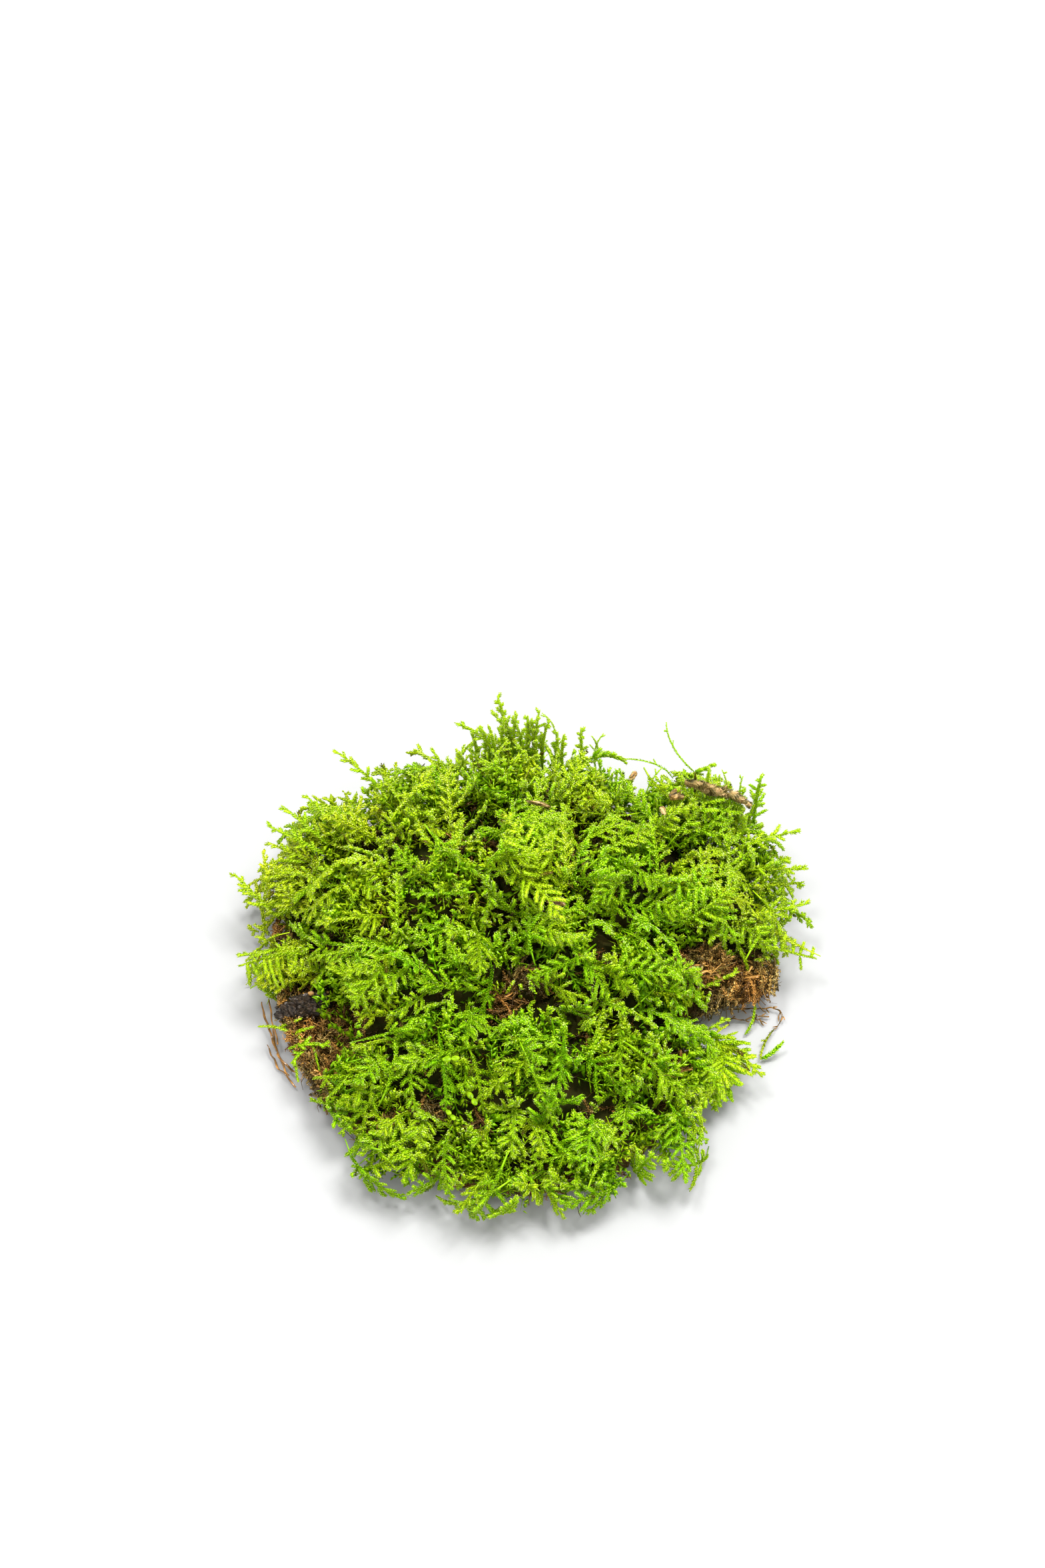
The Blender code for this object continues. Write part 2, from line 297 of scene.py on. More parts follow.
MIX_COOL, MIX_WARM, MIX_COLOUR = 6, 7, 2


@dataclass(frozen=True)
class ChartFinish:
    """A finish whose colours are read from a chart of two rows.

    Attributes:
        name: The material's name.
        slot: The record's material slot; not used.
        look: How it takes light.
        cool: Colours of the chart's first row, each with its place from old to young.
        warm: Colours of the chart's second row.
    """

    name: str
    slot: str
    look: Look
    cool: Stops
    warm: Stops

    def _row(self, tree: bpy.types.NodeTree, age: bpy.types.NodeSocket, stops: Stops) -> bpy.types.NodeSocket:
        """Adds a colour ramp that reads one row of the chart.

        Args:
            tree: The material's nodes.
            age: The socket that gives the place in the row.
            stops: The row's colours, each with its place.

        Returns:
            The socket that gives the colour.
        """
        node = tree.nodes.new("ShaderNodeValToRGB")
        ramp = node.color_ramp
        for place, _ in stops[2:]:
            ramp.elements.new(place)
        for element, (place, colour) in zip(ramp.elements, stops):
            element.position = place
            element.color = (*colour, 1.0)
        tree.links.new(age, node.inputs["Fac"])
        return node.outputs["Color"]

    def material(self) -> bpy.types.Material:
        """Makes the material once and returns it each time.

        Returns:
            The Blender material.
        """
        made = bpy.data.materials.get(self.name)
        if made is not None:
            return made
        made = bpy.data.materials.new(self.name)
        made.use_nodes = True
        tree = made.node_tree
        link = tree.links.new
        place = tree.nodes.new("ShaderNodeUVMap")
        place.uv_map = CHART
        parts = tree.nodes.new("ShaderNodeSeparateXYZ")
        link(place.outputs["UV"], parts.inputs["Vector"])
        mixed = tree.nodes.new("ShaderNodeMix")
        mixed.data_type = "RGBA"
        link(parts.outputs["Y"], mixed.inputs["Factor"])
        link(self._row(tree, parts.outputs["X"], self.cool), mixed.inputs[MIX_COOL])
        link(self._row(tree, parts.outputs["X"], self.warm), mixed.inputs[MIX_WARM])
        shader = tree.nodes["Principled BSDF"]
        shader.inputs["Roughness"].default_value = self.look.roughness
        shader.inputs["Coat Weight"].default_value = self.look.shine
        shader.inputs["Coat Roughness"].default_value = self.look.coat_roughness
        shader.inputs["Specular Tint"].default_value = (*self.look.cast, 1.0)
        link(mixed.outputs[MIX_COLOUR], shader.inputs["Base Color"])
        if self.look.thin:
            through = tree.nodes.new("ShaderNodeBsdfTranslucent")
            link(mixed.outputs[MIX_COLOUR], through.inputs["Color"])
            both = tree.nodes.new("ShaderNodeMixShader")
            both.inputs["Fac"].default_value = self.look.thin
            link(shader.outputs["BSDF"], both.inputs[1])
            link(through.outputs["BSDF"], both.inputs[2])
            link(both.outputs["Shader"], tree.nodes["Material Output"].inputs["Surface"])
        return made


# The rows' last stops, near white at 1.0, are reached only by the painted glints on some leaf tips; other
# leaves stay at 0.9 or below.
LEAFY = ChartFinish(
    "wet_moss_leaf", "living_moss", Look(0.30, 0.45, 0.10, thin=0.5, cast=(0.6, 0.9, 0.1)),
    cool=((0.0, (0.055, 0.045, 0.006)), (0.2, (0.080, 0.210, 0.002)), (0.45, (0.270, 0.600, 0.004)),
          (0.7, (0.440, 0.800, 0.007)), (0.9, (0.600, 0.880, 0.018)), (1.0, (0.930, 1.000, 0.560))),
    warm=((0.0, (0.170, 0.080, 0.012)), (0.2, (0.210, 0.230, 0.005)), (0.45, (0.540, 0.630, 0.007)),
          (0.7, (0.740, 0.840, 0.015)), (0.9, (0.840, 0.910, 0.040)), (1.0, (1.000, 1.000, 0.640))),
)
# Its rows start at a dark green-black that stands for shaded moss: painted shade on the heap and the felt
# under the moss.
FELT = ChartFinish(
    "brown_felt", "old_growth", Look(0.85, 0.0, 0.3, cast=(0.25, 0.16, 0.07)),
    cool=((0.0, (0.011, 0.017, 0.003)), (0.4, (0.040, 0.028, 0.008)), (0.75, (0.170, 0.100, 0.034)),
          (1.0, (0.360, 0.220, 0.090))),
    warm=((0.0, (0.018, 0.017, 0.004)), (0.4, (0.110, 0.048, 0.013)), (0.75, (0.340, 0.150, 0.040)),
          (1.0, (0.620, 0.340, 0.110))),
)
DEAD_SHOOTS = ChartFinish(
    "dead_shoots", "old_growth", Look(0.45, 0.3, 0.10, cast=(0.45, 0.32, 0.16)),
    cool=((0.0, (0.010, 0.008, 0.002)), (0.4, (0.085, 0.060, 0.014)), (0.75, (0.330, 0.230, 0.060)),
          (1.0, (0.720, 0.600, 0.240))),
    warm=((0.0, (0.030, 0.013, 0.003)), (0.4, (0.230, 0.100, 0.020)), (0.75, (0.640, 0.300, 0.060)),
          (1.0, (0.900, 0.620, 0.200))),
)
ROTTEN = ChartFinish(
    "black_humus", "rotted_wood", Look(0.55, 0.12, 0.2, cast=(0.32, 0.27, 0.24)),
    cool=((0.0, (0.003, 0.003, 0.003)), (0.5, (0.024, 0.017, 0.012)), (0.8, (0.066, 0.046, 0.032)),
          (1.0, (0.200, 0.150, 0.100))),
    warm=((0.0, (0.006, 0.003, 0.001)), (0.5, (0.040, 0.022, 0.009)), (0.8, (0.120, 0.065, 0.022)),
          (1.0, (0.340, 0.180, 0.050))),
)
DRY = ChartFinish(
    "bark_and_dry_scales", "dry_litter", Look(0.5, 0.25, 0.12, cast=(0.6, 0.5, 0.3)),
    cool=((0.0, (0.006, 0.005, 0.002)), (0.35, (0.058, 0.048, 0.012)), (0.7, (0.175, 0.148, 0.044)),
          (1.0, (0.400, 0.345, 0.170))),
    warm=((0.0, (0.012, 0.006, 0.001)), (0.35, (0.090, 0.046, 0.010)), (0.7, (0.230, 0.118, 0.027)),
          (1.0, (0.480, 0.280, 0.110))),
)
SEED_LEAF = ChartFinish(
    "round_seed_leaf", "seed_leaf", Look(0.35, 0.12, 0.10, thin=0.35, cast=(0.3, 0.5, 0.03)),
    cool=((0.0, (0.080, 0.150, 0.006)), (0.5, (0.170, 0.340, 0.002)), (1.0, (0.290, 0.500, 0.004))),
    warm=((0.0, (0.130, 0.170, 0.008)), (0.5, (0.230, 0.380, 0.003)), (1.0, (0.350, 0.540, 0.006))),
)


def put_in_scene(name: str, surface: Surface, finish: ChartFinish, *nodes: str,
                 smooth: bool = False) -> None:
    """Makes a piece of a surface, dresses it and ties it to the frame.

    Args:
        name: The piece's name.
        surface: Its shape, in mm.
        finish: Its finish.
        *nodes: The CAD nodes that it stands for.
        smooth: Whether its faces are shaded as one curved surface.
    """
    mesh = bpy.data.meshes.new(name)
    count = len(surface.triangles)
    mesh.vertices.add(len(surface.points))
    mesh.vertices.foreach_set("co", (surface.points * MM).astype(np.float32).ravel())
    mesh.loops.add(3 * count)
    mesh.loops.foreach_set("vertex_index", surface.triangles.astype(np.int32).ravel())
    mesh.polygons.add(count)
    mesh.polygons.foreach_set("loop_start", np.arange(0, 3 * count, 3, dtype=np.int32))
    mesh.polygons.foreach_set("use_smooth", np.full(count, smooth))
    chart = mesh.uv_layers.new(name=CHART, do_init=False)
    places = surface.chart[surface.triangles.ravel()].clip(*CHART_EDGES)
    chart.uv.foreach_set("vector", places.astype(np.float32).ravel())
    mesh.update()
    mesh.validate()
    piece = bpy.data.objects.new(name, mesh)
    bpy.context.scene.collection.objects.link(piece)
    mesh.materials.append(finish.material())
    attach(piece, "root")
    if nodes:
        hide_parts(*nodes)
    LOG.info("%s: %d triangles", name, count)


@dataclass(frozen=True)
class Piece:
    """What stands for one CAD node.

    Attributes:
        node: The CAD node.
    """

    node: str

    def put(self, name: str, surface: Surface, finish: ChartFinish, smooth: bool = False) -> None:
        """Puts a surface in the scene for the node, which its name begins with."""
        put_in_scene(f"{self.node}_{name}", surface, finish, self.node, smooth=smooth)


# ---- shoots


@dataclass(frozen=True)
class Branching:
    """How side branches stand on a shoot.

    Attributes:
        pitch: Length of shoot from one branch to the next, counting both sides, in mm.
        start: The share of the shoot below its first branch.
        reach: The longest branches' length in mm, from and to.
        spread: The angle between branch and shoot at the shoot's foot and tip, in degrees.
        flat: The share of branches that keep to the shoot's own plane, 1 for a feather.
        droop: How far branches bend away from the shoot's upper side, as a share of their length.
        hook: How far branches bend towards the shoot's tip.
        comb: Whether all branches stand on the shoot's right side.
        body: Half the width of a branch's body, which its leaves stand on.
    """

    pitch: float
    start: float
    reach: Span
    spread: Span
    flat: float
    droop: float
    hook: float = 0.55
    comb: bool = False
    body: float = 0.50


@dataclass(frozen=True)
class Foliage:
    """How leaves stand on a shoot.

    Attributes:
        spread: The angle between leaf and shoot at its foot and tip, in degrees.
        width: A leaf's width as a share of its length.
        arc: How far round the shoot its leaves stand, in degrees, with the gap on its underside.
    """

    spread: Span = (34.0, 24.0)
    width: float = 0.82
    arc: float = 360.0


LEAF_CORNERS = np.array([[0, 3, 2], [1, 2, 3], [0, 2, 1], [0, 1, 3]])
LEAF_WAIST = 0.42
LEAF_KEEL = 0.10
BODY_HEIGHT = 0.6
BODY_TAPER = 0.42
# Painted glints: the first number scales the chance that a young leaf, shorter than the second, gets a
# near-white tip standing in for the shine of a wet leaf.
PAINTED_GLINT_SHARE = 0.42
PAINTED_GLINT_MOST_SIZE = 0.7
BROWN_TIPS = 0.03
YOUNGEST = 0.82
LAST_BRANCH = 0.97
SHORTEST_BRANCH = 1.1
BARE_BRANCH = 0.04
BARE_SHOOT = 0.15
FEATHER_OUTLINE = 0.6
COMB_OUTLINE = 0.2


@dataclass
class Shoots:
    """Many slender axes at once, each a cubic Bezier curve.

    Attributes:
        curve: Four control points for each shoot, as (shoots, 4, 3).
        up: The side of each shoot that faces the light.
        age: Each shoot's age on the chart at its foot and tip.
        tint: Each shoot's warmth on the chart.
        leaf: The length of each shoot's leaves.
        dense: Leaves in a mm of each shoot.
        girth: Half the width of each shoot's body where it is widest.
        bare: The share of each shoot, from its foot, that has no leaves.
    """

    curve: Array
    up: Array
    age: Array
    tint: Array
    leaf: Array
    dense: Array
    girth: Array
    bare: Array

    @property
    def count(self) -> int:
        """How many shoots there are."""
        return len(self.curve)

    @property
    def length(self) -> Array:
        """Each curve's length, taken as the mean of its chord and its control polygon."""
        chord = np.linalg.norm(self.curve[:, 3] - self.curve[:, 0], axis=1)
        return (chord + np.linalg.norm(np.diff(self.curve, axis=1), axis=2).sum(1)) / 2

    def some(self, chosen: NDArray) -> "Shoots":
        """The chosen shoots alone."""
        return Shoots(**{name: value[chosen] for name, value in vars(self).items()})

    @classmethod
    def plain(cls, curve: Array, age: Array, tint: Array, girth: Array, leaf: float = 0.7,
              dense: float = 5.0) -> "Shoots":
        """Shoots with their upper sides up, and leaves of one length and one number in a mm."""
        full = np.ones(len(curve))
        return cls(curve, np.tile(UP, (len(curve), 1)), age, tint, full * leaf, full * dense, girth, full * 0)

    @classmethod
    def joined(cls, groups: list["Shoots"]) -> "Shoots":
        """Puts several groups of shoots in one."""
        return cls(**{name: np.concatenate([getattr(group, name) for group in groups])
                      for name in vars(groups[0])})

    def at(self, rows: Ints, share: Array) -> tuple[Array, Array, Array, Array]:
        """Finds places along chosen shoots by the Bernstein sums of their control points.

        Args:
            rows: Which shoot each place is on.
            share: How far along it the place is, from 0 to 1.

        Returns:
            The places, the headings there, and the directions to the side and over the shoot.
        """
        corner, left = self.curve[rows], 1 - share
        weights = np.stack([left**3, 3 * left**2 * share, 3 * left * share**2, share**3], -1)
        place = np.einsum("nk,nkd->nd", weights, corner)
        weights = np.stack([left**2, 2 * left * share, share**2], -1)
        way = unit(np.einsum("nk,nkd->nd", weights, np.diff(corner, axis=1)))
        side = unit(np.cross(way, self.up[rows]))
        return place, way, side, np.cross(side, way)

    def branches(self, plan: Branching, rng: Rng) -> "Shoots":
        """Grows side branches, longest low on the shoot and short at its tip.

        A branch's length is the reach, times the share of the shoot left above it to the power of its
        outline, times a rise over the first fifth.

        Args:
            plan: How the branches stand.
            rng: The source of chance.

        Returns:
            The branches as shoots of their own.
        """
        room = self.length * (1 - plan.start)
        rows, order = runs(np.maximum((room / plan.pitch).astype(int), 2))
        total = np.bincount(rows)[rows]
        share = (order + rng.uniform(0.2, 0.8, rows.size)) / total
        along = plan.start + (LAST_BRANCH - plan.start) * share
        place, way, side, over = self.at(rows, along)
        level = (0 if plan.comb else order % 2) * math.pi + rng.normal(0, 0.20, rows.size)
        turned = order * GOLDEN_TURN + rng.normal(0, 0.4, rows.size)
        turn = np.where(rng.random(rows.size) < plan.flat, level, turned)
        out = side * np.cos(turn)[:, None] + over * np.sin(turn)[:, None]
        spread = np.radians(blend(*plan.spread, share) + rng.normal(0, 6, rows.size))[:, None]
        heading = way * np.cos(spread) + out * np.sin(spread)
        outline = (1 - share) ** (COMB_OUTLINE if plan.comb else FEATHER_OUTLINE)
        outline = outline * (0.45 + 0.55 * np.minimum(share / 0.2, 1))
        size = rng.uniform(*plan.reach, self.count)[rows] * outline * rng.uniform(0.65, 1.12, rows.size)
        reach = np.maximum(size, SHORTEST_BRANCH)[:, None]
        droop = plan.droop * rng.uniform(0.2, 1.8, (rows.size, 1))
        final = unit(heading + plan.hook * way - droop * over + rng.normal(0, 0.20, (rows.size, 3)))
        end = place + reach * unit(heading + 0.5 * final) * 0.96
        curve = np.stack([place, place + heading * reach / 3, end - final * reach / 3, end], 1)
        base = blend(self.age[rows, 0], self.age[rows, 1], along)
        tip = np.minimum(base + rng.uniform(0.12, 0.32, rows.size), self.age[rows, 1] + 0.08)
        brown = rng.random(rows.size) < BROWN_TIPS
        return Shoots(curve, over, np.stack([base - 0.06, np.where(brown, 0.05, tip)], 1),
                      self.tint[rows] + rng.normal(0, 0.05, rows.size) + 0.3 * brown,
                      self.leaf[rows] * rng.uniform(0.78, 0.96, rows.size), self.dense[rows],
                      plan.body * rng.uniform(0.85, 1.1, rows.size) * self.leaf[rows] / self.leaf.max(),
                      np.full(rows.size, BARE_BRANCH))

    def radius(self, rows: Ints, share: Array, taper: float = BODY_TAPER) -> Array:
        """Half the width of bodies: swelling from a narrow foot, then falling by the taper to the tip."""
        return self.girth[rows] * np.minimum(1, 0.5 + 1.6 * share) * (1 - taper * share)

    def leaves(self, kind: Foliage, rng: Rng) -> Surface:
        """Clothes the shoots in leaves, each a folded diamond closed as a thin four-cornered body.

        Leaves follow each other round the shoot's body by the golden angle, squeezed into their arc. A
        leaf's corners are its root on the body, its tip, and two at its waist that stand out sideways and
        lift towards the shoot.

        Args:
            kind: How the leaves stand.
            rng: The source of chance.

        Returns:
            All leaves as one surface.
        """
        leafy = 1 - self.bare
        rows, order = runs(np.maximum((self.length * leafy * self.dense).astype(int), 3))
        total = np.bincount(rows)[rows]
        share = (order + rng.uniform(0.1, 0.9, rows.size)) / total
        along = self.bare[rows] + leafy[rows] * share
        place, way, side, over = self.at(rows, along)
        part = (order * GOLDEN_TURN / (2 * math.pi) + rows * 0.27) % 1 - 0.5
        turn = math.pi / 2 + part * math.radians(kind.arc) + rng.normal(0, 0.2, rows.size)
        body = side * np.cos(turn)[:, None] + over * (BODY_HEIGHT * np.sin(turn))[:, None]
        out = unit(body)
        spread = np.radians(blend(*kind.spread, share) + rng.normal(0, 8, rows.size))[:, None]
        heading = way * np.cos(spread) + out * np.sin(spread)
        across = unit(np.cross(way, out))
        lift = np.cross(heading, across)
        taper = np.minimum(1, 0.55 + 1.7 * (1 - share)) * np.minimum(1, 0.7 + 3 * share)
        size = (self.leaf[rows] * taper * rng.uniform(0.75, 1.2, rows.size))[:, None]
        root = place + body * (0.85 * self.radius(rows, along))[:, None]
        waist = root + heading * size * LEAF_WAIST + lift * size * LEAF_KEEL
        half = across * size * kind.width / 2
        tip = root + (heading + 0.12 * way) * size
        corners = np.stack([root, tip, waist + half, waist - half], 1)
        age = blend(self.age[rows, 0], self.age[rows, 1], share) + rng.normal(0, 0.05, rows.size)
        # Painted glints: some young, small leaves get a near-white tip and a light waist corner, standing in
        # for the shine of wet leaf tips; pale marks them.
        pale = rng.random(rows.size) < PAINTED_GLINT_SHARE * np.clip(2.5 * age - 1.15, 0, 1.2)
        pale &= size[:, 0] < PAINTED_GLINT_MOST_SIZE
        tint = self.tint[rows] + rng.normal(0, 0.05, rows.size)
        chart = np.stack([np.minimum(age, YOUNGEST)[:, None] + [-0.12, 0.08, 0.0, 0.02],
                          tint[:, None] + [0, 0, 0.02, -0.02]], 2)
        chart[pale, 1, 0] = 1.0
        chart[pale, 2, 0] = 0.95
        return Surface.copies(corners, LEAF_CORNERS, chart)

    def stems(self, rings: int, sides: int, taper: float = BODY_TAPER, flat: float = BODY_HEIGHT) -> Surface:
        """Makes each shoot's body, a flattened tube.

        Args:
            rings: Rings of points along a stem.
            sides: Points in a ring.
            taper: The share of its radius that a body loses to its tip.
            flat: Its height as a share of its width.

        Returns:
            All bodies as one surface.
        """
        share = np.tile(np.linspace(0, 1, rings), self.count)
        rows = np.repeat(np.arange(self.count), rings)
        place, _, side, over = self.at(rows, share)
        turn = np.arange(sides) * 2 * math.pi / sides
        radius = self.radius(rows, share, taper)[:, None, None]
        ring = (side[:, None] * np.cos(turn)[None, :, None]
                - flat * over[:, None] * np.sin(turn)[None, :, None])
        points = (place[:, None] + radius * ring).reshape(self.count, rings * sides, 3)
        age = np.minimum(blend(self.age[rows, 0], self.age[rows, 1], share), YOUNGEST)[:, None] - 0.10
        age = age - 0.04 * np.cos(turn)[None]
        tint = self.tint[rows][:, None] + 0.04 * np.sin(turn)[None]
        chart = np.stack([age, tint], 2).reshape(self.count, rings * sides, 2)
        return Surface.copies(points, capped_tube(rings, sides), chart)


def arched(foot: Array, tip: Array, rise: Array, fall: Array, bow: float = 1 / 3) -> Array:
    """Control points from foot to tip, whose handles follow rise and fall for bow times the chord."""
    handle = np.linalg.norm(tip - foot, axis=1, keepdims=True) * bow
    return np.stack([foot, foot + unit(rise) * handle, tip - unit(fall) * handle, tip], 1)


def bowed(middle: Array, half: Array, rise: Array, fall: Array) -> Array:
    """Control points of curves that run from one half length before their middles to one beyond."""
    return arched(middle - half, middle + half, rise, fall)


# ---- sprigs


class Form(Enum):
    """The shape of a shoot that shows by itself."""

    FERN = "a feather with close branches in one plane"
    PLUME = "a broad feather with crowded branches in one plane"
    LOOSE = "a shoot with open, rising branches all round"
    COMB = "a shoot with branches on its right side alone"
    PLAIN = "a shoot without branches"
    THREAD = "a thin shoot with few short branches"


SPRIG_LEAF = 0.58
SPRIG_LEAVES_IN_MM = 12.0
SPRIG_GIRTH = 0.24
THREAD_THIN = 0.62


@dataclass(frozen=True)
class Sprig:
    """A shoot that shows by itself.

    Attributes:
        foot: Where it starts, in mm.
        tip: Where it ends.
        form: Its shape.
        reach: The length of its longest branches.
        rise: Its heading at the foot, or None for straight to the tip.
        fall: Its heading at the tip, or None for straight from the foot.
        face: The direction that its upper side looks in.
        warmth: Its place on the chart from cool to warm.
        age: Its places on the chart at foot and tip.
        stout: Its thickness against that of a common shoot.
        bow: How far it bends from its rise to its fall, a third for a plain arch.
    """

    foot: Point
    tip: Point
    form: Form = Form.LOOSE
    reach: float = 3.0
    rise: Point | None = None
    fall: Point | None = None
    face: Point = (0.0, 0.0, 1.0)
    warmth: float = 0.5
    age: Span = (0.6, 0.94)
    stout: float = 1.0
    bow: float = 1 / 3

    def _plan(self) -> Branching | None:
        """How the branches of this sprig's form stand.

        Returns:
            The plan, or None for a form without branches.
        """
        reach = (self.reach * 0.95, self.reach)
        return {
            Form.FERN: Branching(0.90, 0.14, reach, (62, 44), 0.97, 0.25, body=0.46),
            Form.PLUME: Branching(0.60, 0.12, reach, (64, 40), 0.97, 0.12, 0.35, body=0.46),
            Form.LOOSE: Branching(1.1, 0.18, reach, (52, 36), 0.35, -0.1, 0.25, body=0.34),
            Form.COMB: Branching(1.5, 0.10, reach, (94, 84), 1.0, 0.0, 0.0, True, 0.44),
            Form.THREAD: Branching(3.2, 0.3, reach, (52, 36), 0.3, 0.0, 0.3, body=0.16),
            Form.PLAIN: None,
        }[self.form]

    def shoots(self, rng: Rng) -> Shoots:
        """The sprig's main shoot and its branches.

        Args:
            rng: The source of chance.

        Returns:
            All of them, the main shoot first.
        """
        foot, tip = np.array([self.foot], float), np.array([self.tip], float)
        rise = tip - foot if self.rise is None else np.array([self.rise], float)
        fall = tip - foot if self.fall is None else np.array([self.fall], float)
        thin = THREAD_THIN if self.form is Form.THREAD else 1.0
        curve = arched(foot, tip, rise, fall, self.bow)
        main = Shoots(curve, unit(np.array([self.face]) + rng.normal(0, 0.05, (1, 3))),
                      np.array([self.age]), np.array([self.warmth]),
                      np.array([SPRIG_LEAF * self.stout * thin]), np.array([SPRIG_LEAVES_IN_MM / self.stout]),
                      np.array([SPRIG_GIRTH * self.stout * thin]), np.array([0.0]))
        plan = self._plan()
        return main if plan is None else Shoots.joined([main, main.branches(plan, rng)])


def standing(*rows: tuple[float, ...]) -> tuple[Sprig, ...]:
    """Loose sprigs that stand up, from rows of eleven numbers.

    Args:
        *rows: Each sprig's foot and tip in mm, the reach of its branches, and how far its headings at the
            foot and at the tip lean along X and Y.

    Returns:
        The sprigs, in the rows' order.
    """
    return tuple(Sprig(row[:3], row[3:6], reach=row[6], rise=(*row[7:9], 1.0), fall=(*row[9:], 1.0))
                 for row in rows)


SPRIG_LEAVES = Foliage(spread=(36.0, 24.0), width=0.72)


def grown(sprigs: tuple[Sprig, ...], rng: Rng) -> list[Surface]:
    """The leaves and stems of some sprigs.

    Args:
        sprigs: The sprigs.
        rng: The source of chance.

    Returns:
        Their surfaces.
    """
    if not sprigs:
        return []
    shoots = Shoots.joined([sprig.shoots(rng) for sprig in sprigs])
    return [shoots.leaves(SPRIG_LEAVES, rng), shoots.stems(6, 5)]


# ---- places on the clump


@dataclass(frozen=True)
class Patch:
    """A place where the moss is parted and old growth shows.

    Attributes:
        x: Its middle along X, in mm.
        y: Its middle along Y.
        z: The height of the old growth in it.
        half_x: Its half width along X.
        half_y: Its half width along Y.
        dead: Dead branches in it.
        rust: How light and rusty its old growth is, from 0, a dark painted shade, to 1, light and rusty.
    """

    x: float
    y: float
    z: float
    half_x: float
    half_y: float
    dead: int
    rust: float

    def nearness(self, points: Array) -> Array:
        """One at the patch's middle, falling to zero on its edge and below it outside.

        Args:
            points: Places in mm.

        Returns:
            A number for each place.
        """
        along = (points[..., 0] - self.x) / self.half_x
        across = (points[..., 1] - self.y) / self.half_y
        return 1 - np.hypot(along, across)


PATCHES = (
    Patch(-37.4, -17.4, 6.0, 10.2, 11.6, 230, 0.95),
    Patch(-37.4, -11.0, 6.5, 5.8, 3.4, 14, 0.3),
    Patch(37.4, -5.6, 5.8, 7.4, 5.4, 130, 0.95),
    Patch(30.0, -3.4, 9.5, 4.4, 3.0, 70, 0.85),
    Patch(1.4, -7.6, 12.5, 3.6, 2.5, 30, 0.50),
    Patch(-2.5, -11.3, 11.0, 2.8, 2.2, 14, 0.2),
    Patch(-4.3, 15.0, 18.0, 2.8, 1.5, 10, 0.3),
    Patch(9.8, 14.6, 16.0, 2.8, 1.6, 8, 0.2),
    Patch(-14.5, 0.1, 15.0, 1.5, 1.1, 4, 0.3),
    Patch(-31.0, -1.4, 12.0, 2.4, 3.2, 16, 0.2),
    Patch(-43.0, 3.2, 6.5, 2.4, 3.0, 20, 0.3),
    Patch(30.2, -24.4, 7.0, 2.2, 1.8, 14, 0.6),
    Patch(9.7, -31.8, 9.0, 1.6, 1.0, 6, 0.2),
    Patch(-6.9, -33.6, 9.0, 1.4, 1.0, 6, 0.3),
    Patch(-15.3, -30.2, 8.5, 2.8, 1.8, 16, 0.8),
    Patch(-22.4, -31.6, 7.0, 2.2, 1.4, 12, 0.7),
)


def parted(points: Array) -> Array:
    """How far places lie inside the nearest patch, below zero outside all of them."""
    return np.max([patch.nearness(points) for patch in PATCHES], axis=0)


# ---- tufts


@dataclass(frozen=True)
class Habit:
    """How the shoots of a tuft grow.

    Attributes:
        feathers: The share of shoots that lie along the surface with branches in one plane. The rest stand
            out of it with branches all round.
        warmth: The tuft's place on the chart from cool to warm.
        youth: Added to every shoot's age on the chart: younger growth, and painted light that makes the tufts
            at the back and the sides lighter.
        lean: Which way feathers point, as a heading in degrees from +X, or None for outwards.
        spacing: Distance between neighbouring shoots at the surface, in mm.
        slender: How much thinner and more open the shoots are, from 0 to 1.
        rise: How far shoots reach above the surface, in mm.
    """

    feathers: float = 0.5
    warmth: float = 0.4
    youth: float = 0.0
    lean: float | None = None
    spacing: float = 3.98
    slender: float = 0.0
    rise: float = 0.0


FEATHER_BRANCHES = Branching(pitch=0.88, start=0.30, reach=(3.6, 5.8), spread=(62, 44), flat=0.88, droop=0.45)
UPRIGHT_BRANCHES = Branching(pitch=0.92, start=0.38, reach=(2.8, 4.4), spread=(58, 40), flat=0.25, droop=0.15)
LIVE_LEAVES = Foliage(arc=250.0)
SHADED_LEAVES = Foliage(spread=(58.0, 36.0), width=0.75, arc=250.0)
LEAVES_IN_MM = 9.3
UNDERSTOREY = 5
STRAY_SHARE = 0.3
TRIES = 40
TINT_PATCHES = ((0.18, 14.0, 5),)
YOUTH_PATCHES = ((0.07, 8.0, 6),)
DEPTHS = (1.2, 3.2, 6.5)
DENSE_BY_DEPTH = (1.0, 0.45, 0.2)
LEAF_BY_DEPTH = (1.0, 1.35, 2.0)
GIRTH_BY_DEPTH = (1.0, 0.8, 0.65)
# Painted shade: between these depths below the surface, the shoots' chart ages fall by up to the deepest
# shade.
SHADE_DEPTHS = (2.0, 8.5)
DEEPEST_SHADE = 0.28
TUFT_FOOT = 0.4


def cad_points(node: str) -> Array:
    """The corners of a CAD node's mesh, in mm.

    Args:
        node: The node.

    Returns:
        The corners.
    """
    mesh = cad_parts[node].data
    points = np.empty(3 * len(mesh.vertices))
    mesh.vertices.foreach_get("co", points)
    return points.reshape(-1, 3) / MM


def open_faces(node: str) -> tuple[Array, Array, Array]:
    """A CAD cushion's open faces, without its flat underside and the walls it shares.

    Args:
        node: The cushion's node.

    Returns:
        The faces' corners in mm, their outward normals and their areas.
    """
    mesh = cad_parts[node].data
    mesh.calc_loop_triangles()
    index = np.empty(3 * len(mesh.loop_triangles), np.int32)
    mesh.loop_triangles.foreach_get("vertices", index)
    corners = cad_points(node)[index].reshape(-1, 3, 3)
    cross = np.cross(corners[:, 1] - corners[:, 0], corners[:, 2] - corners[:, 0])
    normal = unit(cross)
    chosen = (normal[:, 2] > -0.85) & (np.abs(normal[:, 2]) > 0.004)
    return corners[chosen], normal[chosen], np.linalg.norm(cross[chosen], axis=1) / 2


